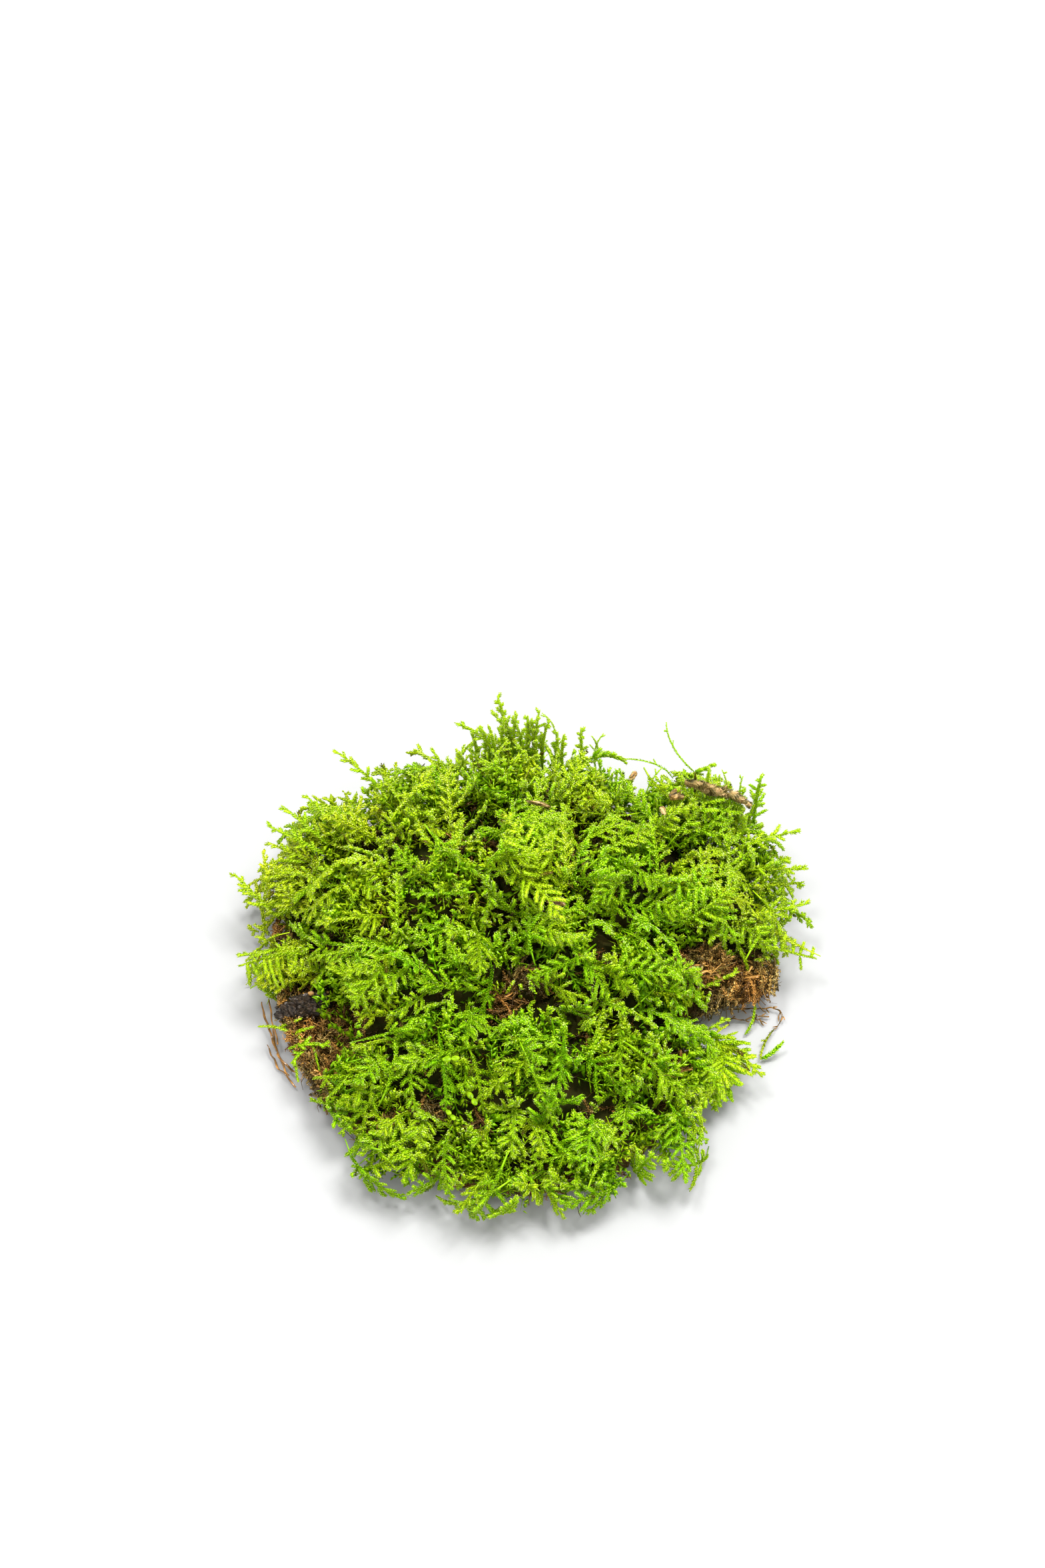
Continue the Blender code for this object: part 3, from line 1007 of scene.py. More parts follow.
@dataclass(frozen=True)
class Tuft(Piece):
    """A bunch of shoots that fills one CAD cushion out to its surface.

    Attributes:
        habit: How its shoots grow.
        seed: Which draw of chance it is.
        sprigs: Shoots of its own that show by themselves.
    """

    habit: Habit
    seed: int
    sprigs: tuple[Sprig, ...] = ()

    def _seeds(self, rng: Rng) -> tuple[Array, Array]:
        """Spreads points over the cushion, each the farthest of many from those before it.

        Args:
            rng: The source of chance.

        Returns:
            The points and the surface normals there.
        """
        corners, normal, area = open_faces(self.node)
        count = max(int(area.sum() / self.habit.spacing**2), 4)
        tries = rng.choice(len(area), TRIES * count, p=area / area.sum())
        weights = rng.dirichlet((1, 1, 1), tries.size)
        places = np.einsum("nk,nkd->nd", weights, corners[tries])
        chosen = [0]
        nearest = np.linalg.norm(places - places[0], axis=1)
        for _ in range(count - 1):
            chosen.append(int(nearest.argmax()))
            nearest = np.minimum(nearest, np.linalg.norm(places - places[chosen[-1]], axis=1))
        return places[chosen], normal[tries[chosen]]

    def _tints(self, places: Array, rng: Rng) -> Array:
        """The shoots' warmth: the tuft's own, patches some 14 mm across, and chance."""
        return self.habit.warmth + layered(places, TINT_PATCHES) + rng.normal(0, 0.11, len(places))

    def _youth(self, places: Array) -> Array:
        """What is added to the shoots' ages: the tuft's own, partly painted light, and lighter and darker
        patches.
        """
        return (self.habit.youth + layered(places, YOUTH_PATCHES))[:, None]

    def _feathers(self, place: Array, normal: Array, rng: Rng) -> Shoots:
        """Shoots that rise from within, arch over and follow the surface to their tips.

        Args:
            place: The shoots' places on the surface.
            normal: The surface normals there.
            rng: The source of chance.

        Returns:
            The shoots.
        """
        count = len(place)
        if self.habit.lean is None:
            outward = unit(place * [1, 1, 0])
        else:
            turn = math.radians(self.habit.lean)
            outward = np.tile([math.cos(turn), math.sin(turn), 0], (count, 1))
        along = outward + rng.normal(0, 0.75, (count, 3))
        along = unit(along - normal * (along * normal).sum(1, keepdims=True))
        length = rng.uniform(11, 17, (count, 1))
        foot = place - along * length * 0.50 - normal * rng.uniform(4.5, 8.0, (count, 1))
        height = rng.uniform(-1.4, 0.6, (count, 1)) + self.habit.rise
        tip = place + along * length * 0.40 + normal * height
        curve = arched(foot, tip, normal + along * 0.6, along - normal * rng.uniform(-0.25, 0.5, (count, 1)))
        tilt = unit(normal + rng.normal(0, 0.25, (count, 3)))
        age = np.stack([rng.uniform(0.42, 0.54, count), rng.uniform(0.70, 0.96, count)], 1)
        return Shoots(curve, tilt, age + self._youth(place), self._tints(place, rng),
                      rng.uniform(0.54, 0.64, count), np.full(count, LEAVES_IN_MM),
                      rng.uniform(0.26, 0.32, count), np.full(count, BARE_SHOOT))

    def _uprights(self, place: Array, normal: Array, rng: Rng) -> Shoots:
        """Shoots that stand out of the surface, leaning any way.

        Args:
            place: The shoots' places on the surface.
            normal: The surface normals there.
            rng: The source of chance.

        Returns:
            The shoots.
        """
        count = len(place)
        up = unit(normal + [0, 0, 1.4 * self.habit.slender])
        lean = unit(up + rng.normal(0, 0.42 - 0.2 * self.habit.slender, (count, 3)))
        length = rng.uniform(9, 13, (count, 1)) * (1 + 0.3 * self.habit.slender)
        tip = place + lean * (rng.uniform(-1.2, 1.2, (count, 1)) + self.habit.rise)
        foot = tip - lean * length * 0.95 + rng.normal(0, 1.2, (count, 3))
        curve = arched(foot, tip, lean + rng.normal(0, 0.3, (count, 3)),
                       lean + rng.normal(0, 0.4, (count, 3)))
        side = unit(rng.normal(0, 1, (count, 3)))
        age = np.stack([rng.uniform(0.44, 0.56, count), rng.uniform(0.74, 0.98, count)], 1)
        thin = 1 - 0.25 * self.habit.slender
        return Shoots(curve, side, age + self._youth(place), self._tints(place, rng),
                      rng.uniform(0.52, 0.62, count) * thin, np.full(count, LEAVES_IN_MM),
                      rng.uniform(0.24, 0.30, count) * thin, np.full(count, BARE_SHOOT))

    def _understorey(self, place: Array, normal: Array, rng: Rng) -> Shoots:
        """Old shaded branches below the surface, darker and browner with depth: older growth and painted
        shade.

        Args:
            place: The tuft's seeds.
            normal: The surface normals there.
            rng: The source of chance.

        Returns:
            The branches.
        """
        count = UNDERSTOREY * len(place)
        pick = rng.integers(0, len(place), count)
        depth = rng.uniform(1.6, 6.6, (count, 1))
        middle = place[pick] - normal[pick] * depth + rng.normal(0, 1.8, (count, 3))
        keep_above(middle, MAT_TOP + 0.5)
        way = unit(rng.normal(0, 1, (count, 3)) + normal[pick] * 0.5)
        reach = rng.uniform(2.5, 4.2, (count, 1))
        curve = bowed(middle, way * reach, way + rng.normal(0, 0.4, (count, 3)),
                      way + rng.normal(0, 0.4, (count, 3)))
        # Darker with depth: painted shade, as well as older growth.
        foot = 0.56 - 0.035 * depth[:, 0]
        return Shoots(curve, normal[pick], np.stack([foot, foot + 0.14], 1), self._tints(middle, rng),
                      rng.uniform(1.2, 1.7, count), np.full(count, 1.5), rng.uniform(0.18, 0.26, count),
                      np.zeros(count))

    def _strays(self, place: Array, normal: Array, rng: Rng) -> Shoots:
        """Dead needles and stalks caught among the shoots.

        Args:
            place: The tuft's seeds.
            normal: The surface normals there.
            rng: The source of chance.

        Returns:
            The needles and stalks.
        """
        count = max(int(STRAY_SHARE * len(place)), 1)
        pick = rng.integers(0, len(place), count)
        middle = place[pick] - normal[pick] * rng.uniform(0.8, 3.0, (count, 1))
        middle = middle + rng.normal(0, 1.0, (count, 3))
        way = unit(rng.normal(0, 1, (count, 3)))
        half = rng.uniform(0.6, 1.7, (count, 1))
        curve = bowed(middle, way * half, way + rng.normal(0, 0.25, (count, 3)), way)
        age = rng.uniform(0.08, 0.2, count)
        return Shoots.plain(curve, np.stack([age, age], 1), rng.uniform(0.6, 1.0, count),
                            rng.uniform(0.07, 0.15, count))

    def _depth(self, points: Array, place: Array, normal: Array) -> tuple[Ints, Array]:
        """How far points lie below the surface, or behind it where it faces outwards.

        Args:
            points: The points.
            place: The tuft's seeds.
            normal: The surface normals there.

        Returns:
            Each point's nearest seed, and its depth.
        """
        near = np.linalg.norm(points[:, None] - place[None], axis=2).argmin(1)
        off, outward = points - place[near], unit(points * [1, 1, 0])
        below = -(off * normal[near]).sum(1)
        facing = (normal[near] * outward).sum(1)
        behind = -(off * outward).sum(1) / np.maximum(facing, 0.3)
        return near, np.where(facing > 0.3, np.minimum(below, behind), below)

    def _settle(self, shoots: Shoots, place: Array, normal: Array) -> Shoots:
        """Thins the leaves of shoots by their depth, darkens them with depth as painted shade and older
        growth, and clears the patches.

        Args:
            shoots: The shoots.
            place: The tuft's seeds.
            normal: The surface normals there.

        Returns:
            Those shoots that stay.
        """
        rows = np.arange(shoots.count)
        middle = shoots.at(rows, np.full(rows.size, 0.55))[0]
        tip = shoots.curve[:, 3]
        stays = (parted(middle) < 0.12) & (parted(tip) < 0.25)
        shoots, middle = shoots.some(stays), middle[stays]
        near, depth = self._depth(middle, place, normal)
        shoots.dense = shoots.dense * np.interp(depth, DEPTHS, DENSE_BY_DEPTH)
        shoots.leaf = shoots.leaf * np.interp(depth, DEPTHS, LEAF_BY_DEPTH)
        shoots.girth = shoots.girth * np.interp(depth, DEPTHS, GIRTH_BY_DEPTH)
        # Painted shade, as well as older growth: darker with depth below the surface.
        shoots.age = shoots.age - np.interp(depth, SHADE_DEPTHS, (0.0, DEEPEST_SHADE))[:, None]
        shoots.up = unit(normal[near] + 0.25 * np.sin(rows[:len(near), None] * [3.1, 1.7, 2.3]))
        return shoots

    def build(self) -> None:
        """Grows the tuft's shoots, branches and leaves as one piece."""
        rng = np.random.default_rng(self.seed)
        place, normal = self._seeds(rng)
        flat = rng.random(len(place)) < self.habit.feathers
        slender = self.habit.slender
        groups = (
            (self._feathers(place[flat], normal[flat], rng), FEATHER_BRANCHES),
            (self._uprights(place[~flat], normal[~flat], rng),
             replace(UPRIGHT_BRANCHES, pitch=UPRIGHT_BRANCHES.pitch * (1 + 0.5 * slender),
                     body=UPRIGHT_BRANCHES.body * (1 - 0.35 * slender))),
        )
        main = self._settle(Shoots.joined([group for group, _ in groups]), place, normal)
        sides = Shoots.joined([group.branches(plan, rng) for group, plan in groups if group.count])
        sides = self._settle(sides, place, normal)
        shaded = self._understorey(place, normal, rng)
        ends = [self._depth(shaded.curve[:, end], place, normal)[1] for end in (0, 3)]
        shaded = shaded.some((parted(shaded.curve[:, 3]) < 0.3) & (np.minimum(*ends) > 0.4))
        surface = Surface.joined([
            main.leaves(LIVE_LEAVES, rng), sides.leaves(LIVE_LEAVES, rng), shaded.leaves(SHADED_LEAVES, rng),
            main.stems(6, 4), sides.stems(3, 3), shaded.stems(3, 3),
            self._strays(place, normal, rng).stems(4, 3, flat=1.0), *grown(self.sprigs, rng),
        ])
        keep_above(surface.points, TUFT_FOOT)
        self.put("shoots", surface, LEAFY, smooth=True)


# ---- single fronds and shoots


@dataclass(frozen=True)
class Frond(Piece):
    """One or a few shoots that reach out of the clump.

    Attributes:
        sprigs: The shoots.
        least: Their least height above the floor, in mm.
    """

    sprigs: tuple[Sprig, ...]
    least: float = 0.25

    def build(self, seed: int) -> None:
        """Grows the frond as one piece.

        Args:
            seed: Which draw of chance it is.
        """
        surface = Surface.joined(grown(self.sprigs, np.random.default_rng(seed)))
        keep_above(surface.points, self.least)
        self.put("shoots", surface, LEAFY, smooth=True)


FRONDS = (
    Frond("frond_crest_tall", standing((-0.9, 33.5, 17, -4.3, 37.4, 31.8, 3.4, -0.2, 0.2, -0.1, 0.1))),
    Frond("frond_crest_left", (
        Sprig((-5, 32, 17), (-11.6, 33.6, 28.8), reach=3.8, rise=(0.1, 0.2, 1), fall=(-1, 0.1, 0.4)),
    )),
    Frond("frond_crest_right", standing((2.4, 32, 15, 3.0, 36.4, 28.4, 3.4, 0, 0.2, 0.2, 0.1))),
    Frond("frond_back_right_tip", (
        Sprig((14, 33.6, 6), (14.3, 36.2, 20.6), Form.THREAD, 3.0, rise=(-0.3, 0.3, 1), fall=(0.5, 0.1, 1)),
        Sprig((13.6, 35.8, 14), (12.2, 36.1, 19.8), Form.PLAIN, rise=(-0.1, 0, 1), fall=(-0.5, 0, 1),
              stout=0.62),
    )),
    Frond("frond_back_left_tip", (
        Sprig((-23, 25, 16), (-33, 32, 22), reach=3.4, rise=(-1, 0.8, 1), fall=(-1, 0.6, 0.3)),
    )),
    Frond("frond_left_upper", (
        Sprig((-34, 16.5, 16), (-42.2, 23.2, 17.8), Form.LOOSE, 3.2, (-1, 0.6, 0.8), (-1, 0.8, 0.1),
              warmth=0.4),
        Sprig((-31.5, 18, 18), (-37.9, 24.2, 20), Form.LOOSE, 2.6, (-0.8, 0.8, 0.8), (-0.8, 1, 0.1),
              warmth=0.4),
    )),
    Frond("frond_left_reach", (
        Sprig((-34.5, 14, 17), (-44.6, 20, 16.4), Form.LOOSE, 2.8, (-1, 0.4, 0.7), (-1, 0.5, 0), warmth=0.4,
              stout=1.1),
        Sprig((-37, 14.5, 13), (-44.6, 17.4, 15), Form.LOOSE, 2.4, (-1, 0.3, 0.7), (-1, 0.4, 0.1),
              warmth=0.7),
        Sprig((-38.1, 14, 14), (-43.8, 13.9, 14.6), Form.PLAIN, rise=(-1, 0, 0.7), fall=(-1, 0, -0.1)),
    )),
    Frond("frond_left_tip", (
        Sprig((-42.5, 5.4, 9), (-50.6, 12.6, 12.4), Form.LOOSE, 3.6, (-0.8, 0.5, 0.7), (-1, 1, 0.1),
              warmth=0.55,
              stout=1.15),
        Sprig((-44.2, 8.6, 11), (-45.4, 15, 16), Form.LOOSE, 2.4, (0, 0.5, 1), (-0.2, 1, 0.4), warmth=0.9,
              age=(0.5, 0.98)),
        Sprig((-41.5, 7, 12), (-44.6, 7.1, 10.6), Form.PLAIN, rise=(-1, 0, 0.3), fall=(-1, 0, -0.4),
              stout=1.2),
        Sprig((-40.5, 5.8, 11), (-43.4, 5.6, 10.2), Form.PLAIN, rise=(-1, 0, 0.3), fall=(-1, 0, -0.4),
              stout=1.2),
    )),
    Frond("frond_left_hanging", (
        Sprig((-37.4, -3.4, 13.2), (-49.2, -4.8, 11.4), Form.COMB, 9.2, (-1, 0.1, 0.3), (-1, -0.2, -0.2),
              face=(0.0, 0.6, -0.8), stout=1.1),
        Sprig((-40, -1.2, 10.5), (-49.4, -1.8, 9.4), Form.LOOSE, 3.0, (-1, 0, 0.3), (-1, 0, -0.2)),
    )),
    Frond("frond_right_upper", (
        Sprig((37, 17.5, 12), (48.6, 19.6, 16), Form.LOOSE, 4.2, (1, 0.1, 0.7), (1, 0.3, 0.2)),
    )),
    Frond("frond_right_reach", (
        Sprig((39, 13.4, 12), (50, 13.2, 13.2), Form.LOOSE, 3.8, (1, 0, 0.5), (1, 0.1, 0)),
    )),
    Frond("frond_right_tip", (
        Sprig((40, 6, 9.5), (50.2, 7.8, 10.6), Form.LOOSE, 3.8, (1, 0, 0.6), (1, 0.3, 0)),
    )),
    Frond("frond_right_long", (
        Sprig((39.5, 0.4, 8.5), (51.2, -1.7, 8), Form.COMB, 3.2, (1, -0.1, 0.3), (1, -0.2, -0.1),
              face=(0, 0.5, -0.8)),
        Sprig((48.4, -1.2, 8), (48.6, -3.6, 7.4), Form.PLAIN, stout=0.9),
        Sprig((37.4, 0.6, 8.6), (39.4, -3.2, 6.2), Form.PLAIN, rise=(0.3, -0.5, 0.5), fall=(0.2, -0.6, -0.8),
              stout=1.25),
    )),
    Frond("frond_right_front", (
        Sprig((31.2, -13.4, 5), (29.6, -29.6, 6.6), Form.PLUME, 7.4, (1, -0.9, 0.45), (-1, -0.75, -0.35),
              (0, -0.25, 1), 0.5, (0.56, 1.0), 1.1, 0.46),
        Sprig((30.6, -14.4, 3.6), (29.8, -28.6, 4.8), Form.PLUME, 6.6, (1, -0.7, 0.3), (-1, -0.8, -0.3),
              (0.2, -0.2, 1), 0.4, (0.46, 0.86), 1.1, 0.46),
        Sprig((30, -15.4, 2.4), (32.6, -28.4, 3.6), Form.PLUME, 6.8, (1, -0.7, 0.2), (-0.6, -0.9, -0.2),
              (0.1, -0.2, 1), 0.3, (0.40, 0.76), 1.1, 0.46),
        Sprig((28.6, -16.8, 5.4), (26.6, -29.4, 7), Form.PLUME, 5.0, (0.3, -1, 0.5), (-0.4, -1, -0.3),
              (0, -0.2, 1), 0.4, (0.46, 0.90), 1.0, 0.4),
        Sprig((34.4, -17.6, 6.6), (41.2, -23.4, 6.2), Form.FERN, 3.6, (0.9, -0.4, 0.2), (0.7, -0.8, -0.2),
              warmth=0.6),
        Sprig((33.8, -16.6, 5.4), (39.8, -19.6, 5.4), Form.FERN, 3.0, (0.9, -0.2, 0.2), (0.9, -0.6, -0.2),
              warmth=0.5),
        Sprig((32.3, -14.2, 5.6), (35.8, -12.2, 5.8), Form.LOOSE, 1.6, (0.8, 0.6, 0.5), warmth=0.5),
        Sprig((33.2, -15.4, 5.8), (35.6, -13.3, 5.6), Form.PLAIN, rise=(0.6, 0.8, 0.5), warmth=0.9,
              stout=0.7),
        Sprig((34.2, -16.4, 6.2), (37.2, -14.8, 5.9), Form.PLAIN, rise=(0.8, 0.6, 0.5), warmth=0.6,
              stout=0.8),
    )),
    Frond("frond_left_patch", (
        Sprig((-37.2, -17.6, 6.6), (-45.7, -14, 6.4), Form.PLAIN, rise=(-0.6, 0.6, 0.6),
              fall=(-1, -0.1, -0.1)),
        Sprig((-42, -14.4, 7), (-38.2, -13.4, 8.4), Form.PLAIN, rise=(1, 0.3, 0.3), stout=0.9),
        Sprig((-39.6, -15.8, 7.2), (-36, -14.9, 8.4), Form.PLAIN, rise=(0.8, 0.3, 0.4), stout=0.9),
        Sprig((-40.4, -18.6, 7.2), (-33.2, -18.6, 8.4), Form.LOOSE, 2.0, (1, 0.3, 0.3), (1, -0.3, 0),
              warmth=0.3),
        Sprig((-36.4, -17.9, 7.8), (-34.9, -22.6, 7), Form.PLAIN, rise=(0.6, -1, 0.1), warmth=0.25,
              stout=0.8),
        Sprig((-37.6, -19.2, 7.4), (-39.8, -21.4, 7.4), Form.LOOSE, 1.6, (-1, -0.3, 0.3), warmth=0.25),
        Sprig((-39.2, -20.8, 6.8), (-38.5, -24.6, 6.8), Form.PLAIN, rise=(0.2, -1, 0.2), warmth=0.4,
              stout=0.9),
    )),
    Frond("shoot_whip", (
        Sprig((30.5, 31.5, 15), (25.2, 35.9, 25.2), Form.THREAD, 1.4, (-1, 0.3, 1), (0.0, 0.3, 1), warmth=0.3,
              stout=1.05),
    )),
    Frond("shoot_back_bay", (
        Sprig((27, 34, 8), (17, 36.4, 10.8), Form.THREAD, 2.2, (-0.5, 0.6, 1), (-1, 0, -0.2),
              warmth=0.3),
        Sprig((22, 30.5, 8), (24.9, 33.9, 12.2), Form.THREAD, 1.6, (0.2, 0.6, 1), (0.8, 0.4, 0.8),
              warmth=0.4),
    )),
    Frond("shoot_floor_sprig", (
        Sprig((44, -12, 0.9), (41.4, -17.8, 1), Form.THREAD, 1.0, (-0.7, -0.8, 0.1), (-0.1, -1, 0),
              warmth=0.95, age=(0.25, 0.75), stout=1.3),
        Sprig((41.4, -17.7, 0.9), (45.3, -15.3, 2.8), Form.PLAIN, rise=(1, 0.2, 0.3), fall=(0.8, 0.8, 0.4),
              warmth=0.1, stout=1.35),
        Sprig((38.8, -13, 0.8), (40.6, -7.9, 4), Form.PLAIN, rise=(1, 1, 0.1), fall=(0.0, 1, 0.6),
              warmth=0.35, stout=0.9),
    )),
)


# ---- the mat


@dataclass(frozen=True)
class Strewing:
    """How one kind of loose axis lies on the old growth.

    Attributes:
        reach: The axes' half lengths in mm, from and to.
        curl: How much they bend.
        girth: Their radii in mm, from and to.
    """

    reach: Span
    curl: float
    girth: Span


FIBRES = Strewing((1.0, 3.6), 1.0, (0.05, 0.13))
SHREDS = Strewing((0.6, 1.9), 0.5, (0.22, 0.60))
PATCH_SHOOTS = Strewing((1.3, 3.0), 0.7, (0.22, 0.34))
RIM_SHOOTS = Strewing((1.6, 3.2), 0.4, (0.14, 0.22))
HEAP_SHOOTS = Strewing((1.8, 4.0), 0.5, (0.16, 0.26))
DEAD_LEAVES = Foliage(spread=(46.0, 28.0), width=0.8)
BUMPS = ((0.55, 5.0, 11), (0.40, 1.9, 12), (0.25, 0.9, 13))
RAGS = ((0.5, 3.1, 14), (0.4, 1.2, 15), (0.5, 0.45, 22))
GRAIN = ((0.10, 2.4, 16), (0.14, 0.8, 17), (0.10, 0.37, 21))
WARMTH = ((0.3, 6.0, 18), (0.15, 1.5, 19))
WIDEST = (4.0, 5.0)
SIDE_STOPS = slice(6, 1, -1)
SCATTER = (0.15, 0.5, 0.35)
ON_TOP, IN_PATCH = 0, 2


@dataclass(frozen=True)
class OldGrowthMat(Piece):
    """The brown felt that the tufts grow from, with its fibres and dead branches.

    Attributes:
        angles: Points round the felt.
        rings: Rings of points from the middle of its top to the middle of its underside.
        cushions: The CAD nodes of the tufts that grow on it.
        fibres: Loose stems and rhizoids on it.
        shreds: Flat shreds in the patches.
        rim_shreds: Flat shreds on it, most of them at its edge.
        rim_shoots: Dead shoots that still have leaves, most of them at its edge.
        old_shoots: The same on the heap.
        buried: How far below the cushions' faces the heap stays, in mm.
        seed: Which draw of chance the tangle is.
        profile: The felt's side from the middle of its top to the middle of its underside, as the place
            among the rings, the share of the outline's radius and the height in mm.
        heap: The same for the heap of old growth on it, which the tufts hide.
        heap_grid: Points round the heap, and its rings.
    """

    node: str = "old_growth_mat"
    angles: int = 240
    rings: int = 36
    cushions: tuple[str, ...] = ()
    fibres: int = 1200
    shreds: int = 420
    rim_shreds: int = 240
    rim_shoots: int = 140
    old_shoots: int = 250
    buried: float = 7.0
    seed: int = 77
    profile: tuple[Point, ...] = (
        (0.0, 0.0, 5.2), (0.20, 0.80, 5.2), (0.36, 0.90, 5.2), (0.47, 0.965, 4.4), (0.57, 0.99, 3.0),
        (0.66, 0.985, 1.5), (0.76, 0.955, 0.0), (1.0, 0.0, 0.0))
    heap: tuple[Point, ...] = (
        (0.0, 0.0, 9.5), (0.34, 0.40, 9.0), (0.55, 0.68, 7.6), (0.70, 0.82, 5.4), (0.74, 0.84, 4.6),
        (1.0, 0.0, 4.6))
    heap_grid: Counts = (132, 38)

    def _outline(self, angle: Array) -> Array:
        """Reads the mat's radius from the corners of the CAD mat's widest ring.

        Args:
            angle: Angles in radians from +X.

        Returns:
            The radius at each, in mm.
        """
        points = cad_points(self.node)
        ring = points[(points[:, 2] > WIDEST[0]) & (points[:, 2] < WIDEST[1])]
        around = bearing(ring)
        order = np.argsort(around)
        reach = np.linalg.norm(ring[order, :2], axis=1)
        return np.interp(angle, around[order], reach, period=2 * math.pi)

    def _rust(self, points: Array) -> Array:
        """How light and rusty the old growth is, its dark low end under the moss being painted shade.

        Args:
            points: Places in mm.

        Returns:
            From 0, dark with painted shade under the moss, to 1 in a rusty patch, and nearly that on the
            mat's side.
        """
        glow = [patch.rust * np.clip(patch.nearness(points) * 2.5 + 0.4, 0, 1) for patch in PATCHES]
        side = 0.85 * np.clip(12 * self._share(points) - 10.6, 0, 1)
        return np.maximum(np.max(glow, axis=0), side)

    def _lift(self, points: Array) -> Array:
        """The height that the patches raise the heap to, falling to zero outside them."""
        return np.max([(patch.z - 1.2) * np.clip(patch.nearness(points) * 1.5 + 0.9, 0, 1)
                       for patch in PATCHES], axis=0)

    def _share(self, points: Array) -> Array:
        """How far out places are, as a share of the outline's radius."""
        return np.hypot(points[..., 0], points[..., 1]) / self._outline(bearing(points))

    @cached_property
    def _roof(self) -> tuple[Array, Array]:
        """The cushions' faces that look up.

        Returns:
            Their middles and their areas.
        """
        corners, normal, area = (np.concatenate(parts) for parts in zip(*map(open_faces, self.cushions)))
        chosen = normal[:, 2] > 0.3
        return corners[chosen].mean(axis=1), area[chosen]

    def _rise(self, points: Array) -> Array:
        """The height that the heap is raised to.

        It is the patches' lift, or a depth below the cushions' faces about the place: the mean of their
        heights, each by its area times a bell curve of its distance. That fades out at the edge and in the
        patches.

        Args:
            points: Places in mm.

        Returns:
            The height at each.
        """
        middle, area = self._roof
        gap = ((points[..., None, :2] - middle[:, :2]) ** 2).sum(axis=-1)
        weight = area * np.exp(-gap / 8)
        roof = (weight @ middle[:, 2]) / np.maximum(weight.sum(axis=-1), 1e-9)
        inside = np.clip((0.86 - self._share(points)) / 0.14, 0, 1)
        hidden = inside * np.clip(0.25 - 1.2 * parted(points), 0, 1)
        return np.maximum(self._lift(points), (roof - self.buried) * hidden)

    def _ground(self, points: Array) -> Array:
        """The height of the old growth below or above places: the heap's profile, or what it is raised to."""
        slope = np.array(self.heap)[:-1]
        return np.maximum(np.interp(self._share(points), slope[:, 1], slope[:, 2]), self._rise(points))

    def _body(self, profile: tuple[Point, ...], angles: int, rings: int, raised: bool) -> Surface:
        """Carries the outline through a side profile, roughened by waves in space.

        Args:
            profile: The side, from the middle of the top to the middle of the underside.
            angles: Points in a ring.
            rings: Rings of points, with those at the two middles.
            raised: Whether the top rises to the old growth in the patches and below the tufts.

        Returns:
            A closed surface.
        """
        angle = np.linspace(0, 2 * math.pi, angles, endpoint=False)
        share, height = along_profile(profile, rings)
        points = polar(self._outline(angle)[None] * share, angle, height)
        bottom = profile[-1][2]
        if raised:
            above = height > bottom + 0.01
            points[:, :, 2] = np.where(above, np.maximum(height, self._rise(points)), height)
        lifted = np.minimum(np.maximum(height - bottom, 0) / 2.0, 1)
        points[:, :, 2] += np.maximum(layered(points, BUMPS), -1.2) * 0.9 * lifted
        points[:, :, :2] *= 1 - (0.016 * (1 + layered(points, RAGS)) * share**4)[:, :, None]
        keep_above(points, bottom)
        everything, faces = closed_rings(points[1:rings - 1][::-1], points[-1, 0], points[0, 0])
        # The chart's place is low under the moss, a dark painted shade, and higher in the rusty patches and
        # on the side.
        rust = self._rust(everything)
        depth = 0.02 + 0.42 * rust + (0.25 + 0.75 * rust) * layered(everything, GRAIN)
        return Surface(everything, faces, np.stack([depth, layered(everything, WARMTH, 0.4)], 1))

    def _held(self, points: Array) -> Array:
        """Moves places that lie outside the mat's outline back onto it.

        Args:
            points: Places in mm.

        Returns:
            The places after that.
        """
        reach = np.hypot(points[:, 0], points[:, 1])
        most = self._outline(bearing(points))
        held = points * 1.0
        held[:, :2] *= np.minimum(1, most / np.maximum(reach, 1e-6))[:, None]
        return held

    def _scatter(self, count: int, rng: Rng) -> Array:
        """Places on the old growth: a few on top, half of them on the side and the rest in the patches.

        Args:
            count: How many.
            rng: The source of chance.

        Returns:
            The places.
        """
        kind = rng.choice(len(SCATTER), count, p=SCATTER)
        angle = rng.uniform(-math.pi, math.pi, count)
        side = np.array(self.profile)[SIDE_STOPS]
        height = np.where(kind == ON_TOP, side[-1, 2], rng.uniform(0.3, side[-1, 2], count))
        share = np.interp(height, side[:, 2], side[:, 1]) + rng.uniform(-0.005, 0.015, count)
        share = np.where(kind == ON_TOP, 0.9 * np.sqrt(rng.random(count)), share)
        spread = polar(self._outline(angle) * share * 0.985, angle, height)
        spread[:, 2] = np.where(kind == ON_TOP, np.maximum(self._ground(spread) + 0.2, height), height)
        return np.where((kind == IN_PATCH)[:, None], self._in_patches(count, rng), spread)

    def _on_heap(self, count: int, rng: Rng) -> Array:
        """Places on top of the heap.

        Args:
            count: How many.
            rng: The source of chance.

        Returns:
            The places.
        """
        angle, share = rng.uniform(-math.pi, math.pi, count), 0.9 * np.sqrt(rng.random(count))
        places = polar(self._outline(angle) * share, angle, 0.0)
        places[:, 2] = self._ground(places) + rng.uniform(0.2, 1.4, count)
        return places

